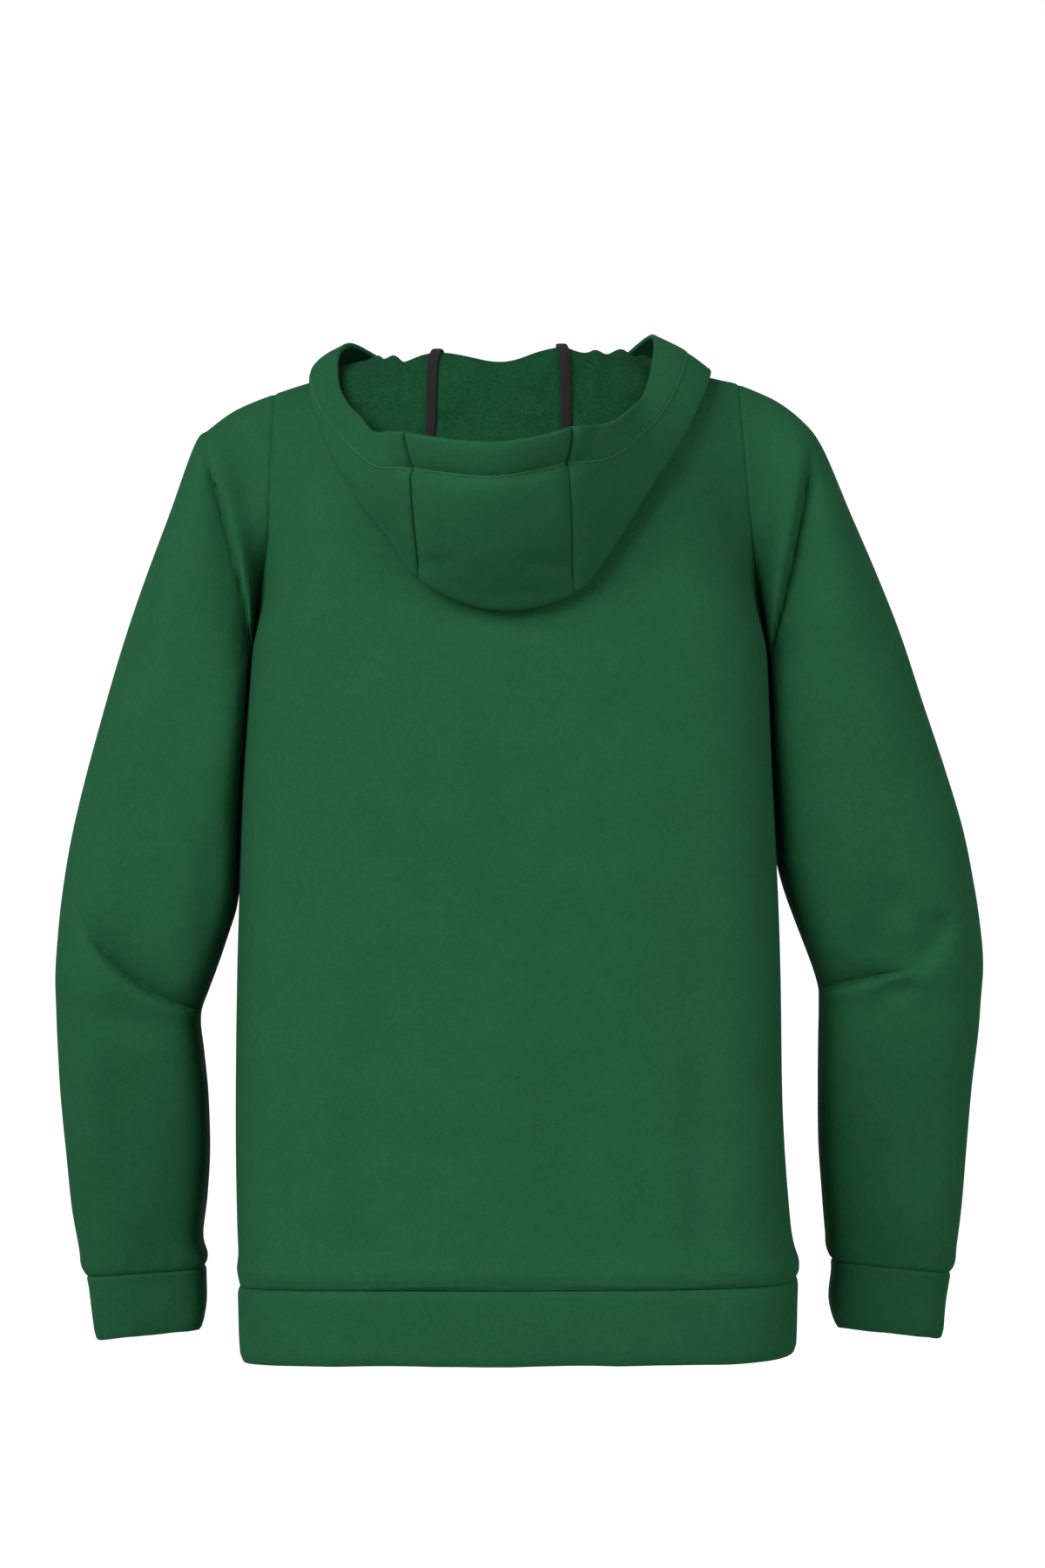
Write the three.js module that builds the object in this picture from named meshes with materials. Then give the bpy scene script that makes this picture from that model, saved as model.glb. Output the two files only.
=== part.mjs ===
// A pullover hoodie, filled out as if worn, with its hood down on the back.
// Millimetres. +X is the wearer's right, +Y the wearer's front, +Z up. The origin lies midway between
// the two high shoulder points, where the shoulder seams meet the neck seam.
// Every piece of cloth is a wall: a grid of points on its outer face, and the same grid moved in.
import * as THREE from "three";

// Cloth
const CLOTH = 2.0; // one layer of fleece
const BAND = 3.2; // cuffs and hem band, cut double
const HEM_STEP = 0.9; // how far the turned hem of the hood stands out on each face
const SEAM_GAP = 0.3; // between neighbouring pieces
const CURVED_GAP = 0.55; // where both edges are curved: the armholes and the hood's seams
const TAPE_WIDTH = 8;
const TAPE_THICK = 1.4;
const TAPE_GAP = 0.6; // between a tape and the seam under it

// Body
const NECK_HALF = 95; // from the centre to a high shoulder point
const NECK_CURVE = 1.6; // above 1, the neckline dips narrowly at its centre
const SHOULDER_CURVE = 1.3; // above 1, the shoulder line is level near the neck and falls further out
const UNDERARM = -218;
const HEM_HEIGHT = 56;
const CENTRE_HANDLE = 0.9; // fullness of a section beside its centre
const SIDE_HANDLE = 0.9; // and beside its side seam
const SHOULDER_ROUNDNESS = 2.3; // of the body's profile over the shoulder; 2 is an ellipse
const NECK_REACH = 0.6; // share of the way to the side at which the profile is the shoulder's own
const ARMHOLE_TURN = 44; // degrees that a section has turned towards the side at the armhole
const UNDERARM_TURN = 70; // height over which the gap round an armhole turns from aside to outwards
const ARMHOLE_CURVE = 0.45; // share of the upper body in which the armhole's curve opens

const FACES = {
  back: { sign: -1, neckDepth: 62, neckDrop: 18, armholeDepth: 62, neckRoundness: 1.55 },
  front: { sign: 1, neckDepth: 66, neckDrop: 84, armholeDepth: 58, neckRoundness: 1.3 },
};

// Half widths to the wearer's left and right, and depths of the back and front, at each height.
const BODY = [
  { z: -690, left: 203, right: 210, back: 120, front: 122 },
  { z: -672, left: 203.5, right: 212, back: 123, front: 126 },
  { z: -640, left: 205, right: 207, back: 121, front: 126 },
  { z: -560, left: 206, right: 202, back: 118, front: 127 },
  { z: -460, left: 205, right: 200, back: 117, front: 130 },
  { z: -390, left: 203, right: 198, back: 119, front: 133 },
  { z: -310, left: 200, right: 195, back: 123, front: 135 },
  { z: -218, left: 194, right: 191, back: 125, front: 132 },
  { z: -185, left: 189, right: 186, back: 125, front: 132 },
  { z: -130, left: 181, right: 178, back: 125, front: 132 },
  { z: -75, left: 179, right: 173, back: 125, front: 132 },
  { z: -20, left: 177, right: 169, back: 125, front: 132 },
];
const SHOULDER_DROP = { left: 21, right: 14 };
// The hem seam isn't quite level: it is lowest at the wearer's left.
const HEM_SEAM = { left: -684, centre: -681, right: -676 };

// The hem band from its seam down: share of its height, and distance outside the body's line.
const HEM_ROWS = [
  { drop: 0, out: -0.6 },
  { drop: 0.12, out: 1.2 },
  { drop: 0.5, out: 1.0 },
  { drop: 0.93, out: -0.4 },
  { drop: 1, out: -2 },
];

// Soft troughs in the body. Each line runs from its top by a point to its foot, as x and z, and has a
// depth, and a half width to the left and to the right of it.
const BODY_FOLDS = [
  { face: "back", top: [-78, -440], by: [-90, -590], foot: [-84, -688], depth: 5, left: 26, right: 34 },
  { face: "back", top: [30, -400], by: [40, -560], foot: [36, -688], depth: 5, left: 30, right: 30 },
  { face: "back", top: [118, -380], by: [140, -540], foot: [134, -688], depth: 6, left: 24, right: 34 },
  { face: "front", top: [-60, -420], by: [-74, -580], foot: [-70, -688], depth: 6, left: 30, right: 26 },
  { face: "front", top: [66, -440], by: [58, -590], foot: [62, -688], depth: 5, left: 26, right: 32 },
  { face: "front", top: [-150, -150], by: [-120, -240], foot: [-70, -300], depth: 6, left: 20, right: 34 },
  { face: "front", top: [148, -150], by: [124, -236], foot: [80, -296], depth: 6, left: 20, right: 34 },
];

// Sleeves. Each ring runs through an outer and an inner point in the plane of the shoulders, and
// has a centre and a half depth from front to back. The first ring is the armhole.
const SLEEVES = {
  left: [
    { outerX: -177, outerZ: -21, innerX: -194, innerZ: -218, mid: 0, half: 60 },
    { outerX: -207, outerZ: -33, innerX: -197.4, innerZ: -234, mid: 5, half: 64 },
    { outerX: -226, outerZ: -46.5, innerX: -198.4, innerZ: -254, mid: 5, half: 72 },
    { outerX: -237, outerZ: -58, innerX: -199, innerZ: -275, mid: 9, half: 75 },
    { outerX: -255.5, outerZ: -110, innerX: -200.5, innerZ: -300, mid: 13, half: 77 },
    { outerX: -274.5, outerZ: -160, innerX: -202, innerZ: -326, mid: 16, half: 77 },
    { outerX: -290.5, outerZ: -208, innerX: -203.2, innerZ: -351, mid: 18, half: 77 },
    { outerX: -306, outerZ: -259, innerX: -204.2, innerZ: -378, mid: 20, half: 75 },
    { outerX: -319, outerZ: -308, innerX: -207, innerZ: -404, mid: 21, half: 72 },
    { outerX: -329, outerZ: -353, innerX: -215, innerZ: -428, mid: 22, half: 69 },
    { outerX: -336, outerZ: -397, innerX: -222, innerZ: -448, mid: 23, half: 66 },
    { outerX: -340, outerZ: -431, innerX: -229, innerZ: -467, mid: 25, half: 64 },
    { outerX: -342, outerZ: -456, innerX: -233.5, innerZ: -480, mid: 27, half: 62 },
    { outerX: -342, outerZ: -480, innerX: -235, innerZ: -493, mid: 31, half: 59 },
    { outerX: -341.5, outerZ: -508, innerX: -232.5, innerZ: -513, mid: 34, half: 58 },
    { outerX: -340, outerZ: -546, innerX: -229, innerZ: -547, mid: 41, half: 55 },
    { outerX: -336.5, outerZ: -590, innerX: -228, innerZ: -587, mid: 50, half: 51 },
    { outerX: -332.5, outerZ: -630, innerX: -230.5, innerZ: -624, mid: 58, half: 47 },
    { outerX: -327, outerZ: -661, innerX: -234, innerZ: -653, mid: 64, half: 43 },
    { outerX: -326, outerZ: -675, innerX: -231, innerZ: -668, mid: 67, half: 41 },
    { outerX: -322.5, outerZ: -683, innerX: -232, innerZ: -676, mid: 68, half: 38.5 },
  ],
  right: [
    { outerX: 169, outerZ: -14, innerX: 191, innerZ: -218, mid: 0, half: 60 },
    { outerX: 197, outerZ: -26, innerX: 194.5, innerZ: -234, mid: 5, half: 64 },
    { outerX: 217, outerZ: -42, innerX: 195.4, innerZ: -254, mid: 5, half: 72 },
    { outerX: 231, outerZ: -61, innerX: 195.2, innerZ: -275, mid: 9, half: 75 },
    { outerX: 251.5, outerZ: -108, innerX: 195, innerZ: -300, mid: 13, half: 77 },
    { outerX: 271.5, outerZ: -154, innerX: 196.5, innerZ: -324, mid: 16, half: 77 },
    { outerX: 290, outerZ: -200, innerX: 197.6, innerZ: -347, mid: 18, half: 77 },
    { outerX: 308, outerZ: -252, innerX: 199.2, innerZ: -370, mid: 20, half: 75 },
    { outerX: 324, outerZ: -300, innerX: 204.5, innerZ: -392, mid: 21, half: 72 },
    { outerX: 338, outerZ: -346, innerX: 212, innerZ: -414, mid: 22, half: 69 },
    { outerX: 346.5, outerZ: -390, innerX: 220, innerZ: -435, mid: 23, half: 66 },
    { outerX: 351, outerZ: -424, innerX: 226.5, innerZ: -452, mid: 25, half: 64 },
    { outerX: 352.5, outerZ: -448, innerX: 230.5, innerZ: -466, mid: 27, half: 62 },
    { outerX: 351.5, outerZ: -472, innerX: 231.5, innerZ: -481, mid: 31, half: 59 },
    { outerX: 350, outerZ: -500, innerX: 231.5, innerZ: -504, mid: 34, half: 58 },
    { outerX: 346, outerZ: -540, innerX: 231.5, innerZ: -541, mid: 41, half: 55 },
    { outerX: 342.5, outerZ: -584, innerX: 232, innerZ: -582, mid: 50, half: 51 },
    { outerX: 339, outerZ: -628, innerX: 235, innerZ: -622, mid: 58, half: 47 },
    { outerX: 336, outerZ: -657, innerX: 237.5, innerZ: -649, mid: 64, half: 43 },
    { outerX: 335, outerZ: -671, innerX: 238, innerZ: -662, mid: 67, half: 41 },
    { outerX: 332, outerZ: -680, innerX: 241.5, innerZ: -671, mid: 68, half: 38.5 },
  ],
};
const SLEEVE_ROUNDNESS = { outer: 2.8, inner: 5 }; // of a ring's halves; 2 is an ellipse
const SLEEVE_CLEARANCE = 0.6; // from the body's side, below the underarm
const ARMHOLE_FADE = 5; // rings over which the armhole's own curve gives way to the round sleeve

const CUFFS = {
  left: [
    { outerX: -322, outerZ: -683.4, innerX: -232, innerZ: -676.4, mid: 68, half: 38 },
    { outerX: -320.5, outerZ: -692, innerX: -231.5, innerZ: -685, mid: 70, half: 37 },
    { outerX: -318.5, outerZ: -711, innerX: -231.5, innerZ: -704, mid: 74, half: 36 },
    { outerX: -316, outerZ: -731, innerX: -234.5, innerZ: -723, mid: 78, half: 34.5 },
  ],
  right: [
    { outerX: 331.5, outerZ: -680.4, innerX: 241.5, innerZ: -671.4, mid: 68, half: 38 },
    { outerX: 330.5, outerZ: -689, innerX: 241.5, innerZ: -680, mid: 70, half: 37 },
    { outerX: 328, outerZ: -709, innerX: 240, innerZ: -701, mid: 74, half: 36 },
    { outerX: 326, outerZ: -730, innerX: 244, innerZ: -721, mid: 78, half: 34.5 },
  ],
};

// Sleeve folds: the drag line under the shoulder, the creases at the elbow, and soft folds above it.
const SLEEVE_FOLDS = [
  { face: "back", top: [-230, -66], by: [-206, -120], foot: [-196, -206], depth: 13, left: 30, right: 8 },
  { face: "back", top: [-334, -385], by: [-312, -452], foot: [-234, -482], depth: 12, left: 30, right: 8 },
  { face: "back", top: [-292, -330], by: [-278, -396], foot: [-268, -440], depth: 5, left: 22, right: 22 },
  { face: "back", top: [220, -66], by: [211, -130], foot: [194, -212], depth: 14, left: 8, right: 30 },
  { face: "back", top: [308, -384], by: [278, -440], foot: [232, -464], depth: 12, left: 10, right: 30 },
  { face: "back", top: [330, -412], by: [300, -470], foot: [270, -468], depth: 6, left: 12, right: 16 },
  { face: "front", top: [-232, -66], by: [-212, -130], foot: [-198, -206], depth: 11, left: 26, right: 10 },
  { face: "front", top: [-322, -420], by: [-290, -470], foot: [-236, -484], depth: 10, left: 16, right: 10 },
  { face: "front", top: [224, -66], by: [206, -130], foot: [196, -206], depth: 11, left: 10, right: 26 },
  { face: "front", top: [330, -408], by: [296, -456], foot: [233, -468], depth: 10, left: 10, right: 16 },
];

// How a fold deepens and fades along its line: shares of half a wave at its top and at its foot.
const FOLD_TOP = 0.06;
const FOLD_FOOT = 0.86;
const FOLD_STEPS = 12; // points along a fold's line at which the distance to it is measured
const SIDE_FADE = 3; // a body fold fades out over the last third towards the side seam
const FACING_FADE = 1.6; // a sleeve fold fades where the sleeve turns away to its other face
const RING_FADE = 1.5; // and towards the armhole

// Hood. Each row is a strip of the hood from the neck seam to the face edge: it stands up to a crest,
// turns over, lies on the garment down to a fold, and comes back up to the edge. "neck" is the
// strip's place on the neck seam, from the centre front (-1) by the wearer's left to the centre back
// (0), and by the right to the centre front again (1). "belly" is how far the outer layer bulges.
const HOOD = [
  { neck: -1.0, crest: [-1, 77, -70], fold: [-1, 90, -58], rim: [-1, 88, -36], belly: 1 },
  { neck: -0.88, crest: [-44, 70, -56], fold: [-60, 96, -52], rim: [-50, 78, -18], belly: 3 },
  { neck: -0.74, crest: [-80, 48, -22], fold: [-112, 80, -32], rim: [-94, 46, 4], belly: 4 },
  { neck: -0.62, crest: [-98, 23, 0], fold: [-142, 38, -14], rim: [-120, 12, 16], belly: 5 },
  { neck: -0.52, crest: [-101, 4, 5], fold: [-151, -22, -10], rim: [-130, -30, 7], belly: 6 },
  { neck: -0.45, crest: [-96, -15, 3], fold: [-141, -80, -52], rim: [-127, -70, -22], belly: 7 },
  { neck: -0.38, crest: [-87, -31, 1], fold: [-122, -112, -91], rim: [-115, -104, -43], belly: 9 },
  { neck: -0.3, crest: [-74, -46, 1], fold: [-92, -127, -131], rim: [-100, -144, -57], belly: 9 },
  { neck: -0.2, crest: [-55, -58, 2], fold: [-68, -131, -163], rim: [-74, -183, -62], belly: 13 },
  { neck: 0.0, crest: [-8, -67, -3], fold: [-12, -134, -186], rim: [-12, -208, -68], belly: 19 },
  { neck: 0.17, crest: [37, -62, 6], fold: [45, -132, -174], rim: [41, -192, -59], belly: 13 },
  { neck: 0.28, crest: [64, -48, 4], fold: [72, -130, -143], rim: [76, -156, -50], belly: 9 },
  { neck: 0.37, crest: [80, -30, 5], fold: [104, -117, -92], rim: [92, -108, -34], belly: 10 },
  { neck: 0.45, crest: [90, -12, 5], fold: [127, -88, -56], rim: [101, -74, -17], belly: 7 },
  { neck: 0.53, crest: [97, 6, 6], fold: [148, -28, -7], rim: [107, -30, 13], belly: 6 },
  { neck: 0.63, crest: [97, 25, -1], fold: [139, 38, -12], rim: [104, 10, 23], belly: 5 },
  { neck: 0.75, crest: [78, 49, -22], fold: [108, 80, -32], rim: [84, 46, 9], belly: 4 },
  { neck: 0.88, crest: [44, 70, -56], fold: [60, 96, -52], rim: [48, 78, -16], belly: 3 },
  { neck: 1.0, crest: [1, 77, -70], fold: [1, 90, -58], rim: [1, 88, -36], belly: 1 },
];
const HOOD_SEAMS = { left: 8, right: 10 }; // the strips that the centre panel's two seams lie on
const HOOD_REST = 2.8; // how far the hood's outer face lies off the garment that it rests on
const CREST_WIDTH = 9; // across the turn at the crest
const CREST_FALL = 3; // from one side of that turn to the other
const HOOD_RISE = 2.5; // how far it leaves the garment in each row above the neck seam, up to that
const HOOD_HEM = 25; // the turned hem along the face edge
const HEM_STEP_RUN = 1.2; // along the hood, from its plain cloth to the full height of the hem's step
const FRONT_GAP = 1.0; // from the centre front to each front edge of the hood
// Shares of the way from crest to fold at which the inner layer may touch the garment.
const INNER_LAYER = [0.3, 0.68];
// The outer layer's fullness, as shares of a strip's belly, at shares of the way from fold to edge.
const OUTER_LAYER = [
  { share: 0.1, fullness: 0.45 },
  { share: 0.36, fullness: 0.95 },
  { share: 0.7, fullness: 0.95 },
];
// Distances from the face edge of the rows in the turned hem; the first two make its step.
const HEM_LINES = [HOOD_HEM + HEM_STEP_RUN, HOOD_HEM, (2 * HOOD_HEM) / 3, HOOD_HEM / 3, 0];

// Grid sizes
const BODY_COLUMNS = 10; // from the centre to the side
const BODY_ROWS = 11; // from the hem seam to the underarm
const YOKE_ROWS = 12; // from the underarm to the shoulder
const RING_COLUMNS = 2 * YOKE_ROWS;
const SLEEVE_RINGS = 30;
const CUFF_RINGS = 4;
const HOOD_ROWS = 22; // from the neck seam to the turned hem
const HOOD_CENTRE_COLUMNS = 6;
const HOOD_SIDE_COLUMNS = 16;

const DEEP_GREEN = new THREE.Color().setRGB(0.149, 0.361, 0.235, THREE.SRGBColorSpace);
const CHARCOAL = new THREE.Color().setRGB(0.2, 0.19, 0.2, THREE.SRGBColorSpace);
const fleece = new THREE.MeshStandardMaterial({ color: DEEP_GREEN, roughness: 0.92, metalness: 0 });
const tapeCloth = new THREE.MeshStandardMaterial({ color: CHARCOAL, roughness: 0.95, metalness: 0 });

const clamp01 = (t) => Math.min(1, Math.max(0, t));
const mix = (a, b, t) => a + (b - a) * t;
const smooth = (t) => clamp01(t) ** 2 * (3 - 2 * clamp01(t));
const even = (count, from, to) => Array.from({ length: count + 1 }, (_, k) => mix(from, to, k / count));

// The value of a column at t, on a smooth curve through a table's rows.
function readColumn(table, by, column, t) {
  const up = table[table.length - 1][by] > table[0][by] ? 1 : -1;
  let i = 0;
  while (i < table.length - 2 && up * (t - table[i + 1][by]) > 0) i++;
  const slope = (k) => {
    const a = table[Math.max(0, k - 1)];
    const b = table[Math.min(table.length - 1, k + 1)];
    return (b[column] - a[column]) / (b[by] - a[by]);
  };
  const [a, b] = [table[i], table[i + 1]];
  const step = b[by] - a[by];
  const f = clamp01((t - a[by]) / step);
  return (
    a[column] * (1 + 2 * f) * (1 - f) ** 2 +
    b[column] * f * f * (3 - 2 * f) +
    step * (slope(i) * f * (1 - f) ** 2 - slope(i + 1) * f * f * (1 - f))
  );
}

// A quarter of a superellipse: how far up and how far out at a share of its turn.
function quarter(turn, roundness) {
  const angle = (turn * Math.PI) / 2;
  const [c, s] = [Math.cos(angle), Math.sin(angle)];
  const reach = (Math.abs(c) ** roundness + Math.abs(s) ** roundness) ** (-1 / roundness);
  return { up: s * reach, out: c * reach };
}

// How deep a table of folds presses the cloth in at a place seen from the front or the back.
function foldDepth(folds, face, x, z) {
  let depth = 0;
  for (const fold of folds) {
    if (fold.face !== face) continue;
    let best = { distance: Infinity };
    for (const t of even(FOLD_STEPS, 0, 1)) {
      const [p, q, r] = [(1 - t) ** 2, 2 * t * (1 - t), t * t];
      const [px, pz] = [0, 1].map((axis) => p * fold.top[axis] + q * fold.by[axis] + r * fold.foot[axis]);
      const distance = Math.hypot(x - px, z - pz);
      if (distance < best.distance) best = { distance, t, px };
    }
    const width = x < best.px ? fold.left : fold.right;
    const along = Math.sin(Math.PI * mix(FOLD_TOP, FOLD_FOOT, best.t));
    depth += fold.depth * along * Math.exp(-((best.distance / width) ** 2));
  }
  return depth;
}

const sideName = (side) => (side < 0 ? "left" : "right");
const shoulderTip = (side) => Math.abs(SLEEVES[sideName(side)][0].outerX);

// The top edge of a body panel: half the neckline, then the shoulder seam, from the centre out.
function topEdge(face, side, across) {
  const { sign, neckDepth, neckDrop } = FACES[face];
  if (across <= 0.5) {
    const turn = across * Math.PI;
    return {
      x: NECK_HALF * Math.sin(turn),
      y: sign * Math.max(neckDepth * Math.cos(turn), SEAM_GAP / 2),
      z: -neckDrop * Math.cos(turn) ** NECK_CURVE,
    };
  }
  const out = 2 * across - 1;
  return {
    x: mix(NECK_HALF, shoulderTip(side), out),
    y: (sign * SEAM_GAP) / 2,
    z: -SHOULDER_DROP[sideName(side)] * out ** SHOULDER_CURVE,
  };
}

// A point on a body panel's outer face. across runs from the centre (0) to the side seam or armhole
// (1); up runs from the hem seam (0) to the underarm (1) and to the shoulder and neck (2).
function bodyPoint(face, side, across, up) {
  const { sign, armholeDepth, neckRoundness } = FACES[face];
  const name = sideName(side);
  const rise = Math.max(0, up - 1);
  const arc = quarter(rise, mix(neckRoundness, SHOULDER_ROUNDNESS, smooth(across / NECK_REACH)));
  const top = topEdge(face, side, across);
  const hem = mix(HEM_SEAM.centre, HEM_SEAM[name], across ** 2);
  const z = up <= 1 ? mix(hem, UNDERARM, up) : mix(UNDERARM, top.z, arc.up);

  const halfWidth = readColumn(BODY, "z", name, z);
  const centreDepth = readColumn(BODY, "z", face, Math.min(z, UNDERARM));
  const opening = quarter(1 - clamp01(rise / ARMHOLE_CURVE), 2).out;
  const edgeDepth = Math.max(SEAM_GAP / 2, armholeDepth * opening);
  const turn = THREE.MathUtils.degToRad(mix(90, ARMHOLE_TURN, smooth(rise / ARMHOLE_CURVE)));
  const handle = SIDE_HANDLE * (centreDepth - edgeDepth);

  const t = across;
  const [a, b, c, d] = [(1 - t) ** 3, 3 * t * (1 - t) ** 2, 3 * t * t * (1 - t), t ** 3];
  const handleX = halfWidth - handle * Math.cos(turn);
  const handleY = edgeDepth + handle * Math.sin(turn);
  const sectionX = b * CENTRE_HANDLE * halfWidth + c * handleX + d * halfWidth;
  const sectionY = (a + b) * centreDepth + c * handleY + d * edgeDepth;

  const share = mix(sectionX / halfWidth, top.x / shoulderTip(side), smooth(rise));
  const x = side * halfWidth * share;
  let y = sign * sectionY;
  if (up > 1) y = mix(top.y, sign * sectionY, arc.out);
  const clearOfSide = smooth((1 - across) * SIDE_FADE);
  y -= sign * foldDepth(BODY_FOLDS, face, x, z) * clearOfSide;
  return new THREE.Vector3(x, y, z);
}

const yokeRow = (k) => 1 + k / YOKE_ROWS;

// A panel's grid of points, row by row from the hem seam up, across from the wearer's left.
function bodyGrid(face) {
  const rows = [];
  for (let k = 0; k <= BODY_ROWS + YOKE_ROWS; k++) {
    const up = k <= BODY_ROWS ? k / BODY_ROWS : yokeRow(k - BODY_ROWS);
    const row = [];
    for (let j = -BODY_COLUMNS; j <= BODY_COLUMNS; j++) {
      row.push(bodyPoint(face, j < 0 ? -1 : 1, Math.abs(j) / BODY_COLUMNS, up));
    }
    rows.push(row);
  }
  return rows;
}

// The outward direction at each point of a grid, by its neighbours. A tube's rows close on themselves.
function gridNormals(grid, closed) {
  const rows = grid.length;
  const columns = grid[0].length;
  const at = (i, j) => {
    const row = grid[Math.min(rows - 1, Math.max(0, i))];
    return closed ? row[(j + columns) % columns] : row[Math.min(columns - 1, Math.max(0, j))];
  };
  return grid.map((row, i) =>
    row.map((_, j) => {
      const alongRow = at(i, j + 1).clone().sub(at(i, j - 1));
      const upColumn = at(i + 1, j).clone().sub(at(i - 1, j));
      return alongRow.cross(upColumn).normalize();
    }),
  );
}

const moved = (grid, normals, distance) =>
  grid.map((row, i) => row.map((p, j) => p.clone().addScaledVector(normals[i][j], distance(i, j))));

// A closed solid between two grids of the same size, joined round their edges.
function wallGeometry(outer, inner, closed) {
  const rows = outer.length;
  const columns = outer[0].length;
  const points = [...outer.flat(), ...inner.flat()];
  const index = [];
  const id = (layer, i, j) => layer * rows * columns + i * columns + ((j + columns) % columns);
  const quad = (a, b, c, d) => index.push(a, b, c, a, c, d);
  const lastColumn = closed ? columns : columns - 1;
  for (let i = 0; i < rows - 1; i++) {
    for (let j = 0; j < lastColumn; j++) {
      quad(id(0, i, j), id(0, i, j + 1), id(0, i + 1, j + 1), id(0, i + 1, j));
      quad(id(1, i, j), id(1, i + 1, j), id(1, i + 1, j + 1), id(1, i, j + 1));
    }
    if (!closed) {
      quad(id(0, i, 0), id(0, i + 1, 0), id(1, i + 1, 0), id(1, i, 0));
      const j = columns - 1;
      quad(id(0, i, j), id(1, i, j), id(1, i + 1, j), id(0, i + 1, j));
    }
  }
  for (let j = 0; j < lastColumn; j++) {
    quad(id(0, 0, j), id(1, 0, j), id(1, 0, j + 1), id(0, 0, j + 1));
    const i = rows - 1;
    quad(id(0, i, j), id(0, i, j + 1), id(1, i, j + 1), id(1, i, j));
  }
  const volume = index.reduce((sum, _, k) => {
    if (k % 3) return sum;
    const [a, b, c] = [points[index[k]], points[index[k + 1]], points[index[k + 2]]];
    return sum + a.dot(b.clone().cross(c));
  }, 0);
  if (volume < 0) index.reverse();
  const geometry = new THREE.BufferGeometry().setFromPoints(points);
  geometry.setIndex(index);
  geometry.computeVertexNormals();
  return geometry;
}

function piece(name, geometry, material) {
  const mesh = new THREE.Mesh(geometry, material);
  mesh.name = name;
  return mesh;
}

// The outward directions on a body panel, square to the seams that lie in the plane of the shoulders.
function bodyNormals(face, grid) {
  const normals = gridNormals(grid, false);
  const outward = FACES[face].sign * normals[0][BODY_COLUMNS].y > 0 ? 1 : -1;
  for (const [i, row] of normals.entries()) {
    for (const [j, n] of row.entries()) {
      n.multiplyScalar(outward);
      if (Math.abs(grid[i][j].y) < SEAM_GAP) n.setY(0).normalize();
    }
  }
  return normals;
}

const body = Object.fromEntries(
  Object.keys(FACES).map((face) => {
    const grid = bodyGrid(face);
    return [face, { grid, normals: bodyNormals(face, grid) }];
  }),
);

function bodyPanel(face) {
  const { grid, normals } = body[face];
  return wallGeometry(grid, moved(grid, normals, () => -CLOTH), false);
}

// The armhole's points, round from the shoulder by the back to the underarm and up the front, set
// off from the body panels' edges by a gap: outwards along the panel, and aside at the underarm.
function armhole(side) {
  const column = side < 0 ? 0 : 2 * BODY_COLUMNS;
  const last = BODY_ROWS + YOKE_ROWS;
  const aside = new THREE.Vector3(side, 0, 1).normalize();
  const points = [];
  const add = (face, row) => {
    const { grid, normals } = body[face];
    const p = grid[row][column];
    const tangent = grid[Math.min(last, row + 1)][column].clone().sub(grid[row - 1][column]).normalize();
    const away = tangent.cross(normals[row][column]).normalize();
    if (away.x * side < 0) away.negate();
    const high = smooth((p.z - UNDERARM) / UNDERARM_TURN);
    points.push(p.clone().addScaledVector(aside.clone().lerp(away, high).normalize(), CURVED_GAP));
  };
  for (let k = YOKE_ROWS; k > 0; k--) add("back", BODY_ROWS + k);
  for (let k = 0; k < YOKE_ROWS; k++) add("front", BODY_ROWS + k);
  for (const k of [0, YOKE_ROWS]) points[k].y = 0;
  return points;
}

// A point of a ring, at a share of the way round from its outer point by the back.
function ringPoint(ring, around) {
  const fourth = Math.floor(around * 4) % 4;
  const turn = around * 4 - Math.floor(around * 4);
  const outerHalf = fourth === 0 || fourth === 3;
  const roundness = outerHalf ? SLEEVE_ROUNDNESS.outer : SLEEVE_ROUNDNESS.inner;
  const arc = quarter(fourth % 2 ? turn : 1 - turn, roundness);
  const towardOuter = outerHalf ? arc.up : -arc.up;
  const depth = (fourth < 2 ? -1 : 1) * arc.out;
  return new THREE.Vector3(
    mix(ring.innerX, ring.outerX, (1 + towardOuter) / 2),
    ring.mid + ring.half * depth,
    mix(ring.innerZ, ring.outerZ, (1 + towardOuter) / 2),
  );
}

// Rings at even steps through a table.
function ringsThrough(table, count) {
  const numbered = table.map((row, at) => ({ ...row, at }));
  const columns = Object.keys(table[0]);
  return even(count - 1, 0, table.length - 1).map((at) =>
    Object.fromEntries([["at", at], ...columns.map((c) => [c, readColumn(numbered, "at", c, at)])]),
  );
}

function sleeveGrid(side) {
  const points = armhole(side);
  const rings = ringsThrough(SLEEVES[sideName(side)], SLEEVE_RINGS);
  return rings.map((ring) => {
    const hold = 1 - smooth(ring.at / ARMHOLE_FADE);
    return points.map((start, j) => {
      const p = ringPoint(ring, j / RING_COLUMNS);
      const drift = start.clone().sub(ringPoint(rings[0], j / RING_COLUMNS));
      p.addScaledVector(drift, hold);
      const face = p.y < ring.mid ? "back" : "front";
      const facing = Math.abs(p.y - ring.mid) / ring.half;
      const fade = smooth(facing * FACING_FADE) * smooth(ring.at * RING_FADE);
      const press = foldDepth(SLEEVE_FOLDS, face, p.x, p.z) * fade;
      p.y += face === "back" ? press : -press;
      const bodySide = readColumn(BODY, "z", sideName(side), p.z) + SLEEVE_CLEARANCE;
      if (p.z < UNDERARM) p.x = side * Math.max(side * p.x, bodySide);
      return p;
    });
  });
}

function outwardTube(grid) {
  const normals = gridNormals(grid, true);
  const centre = grid[0].reduce((sum, p) => sum.add(p), new THREE.Vector3()).divideScalar(grid[0].length);
  const flip = normals[0][0].dot(grid[0][0].clone().sub(centre)) < 0;
  if (flip) normals.flat().forEach((n) => n.negate());
  return normals;
}

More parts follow.
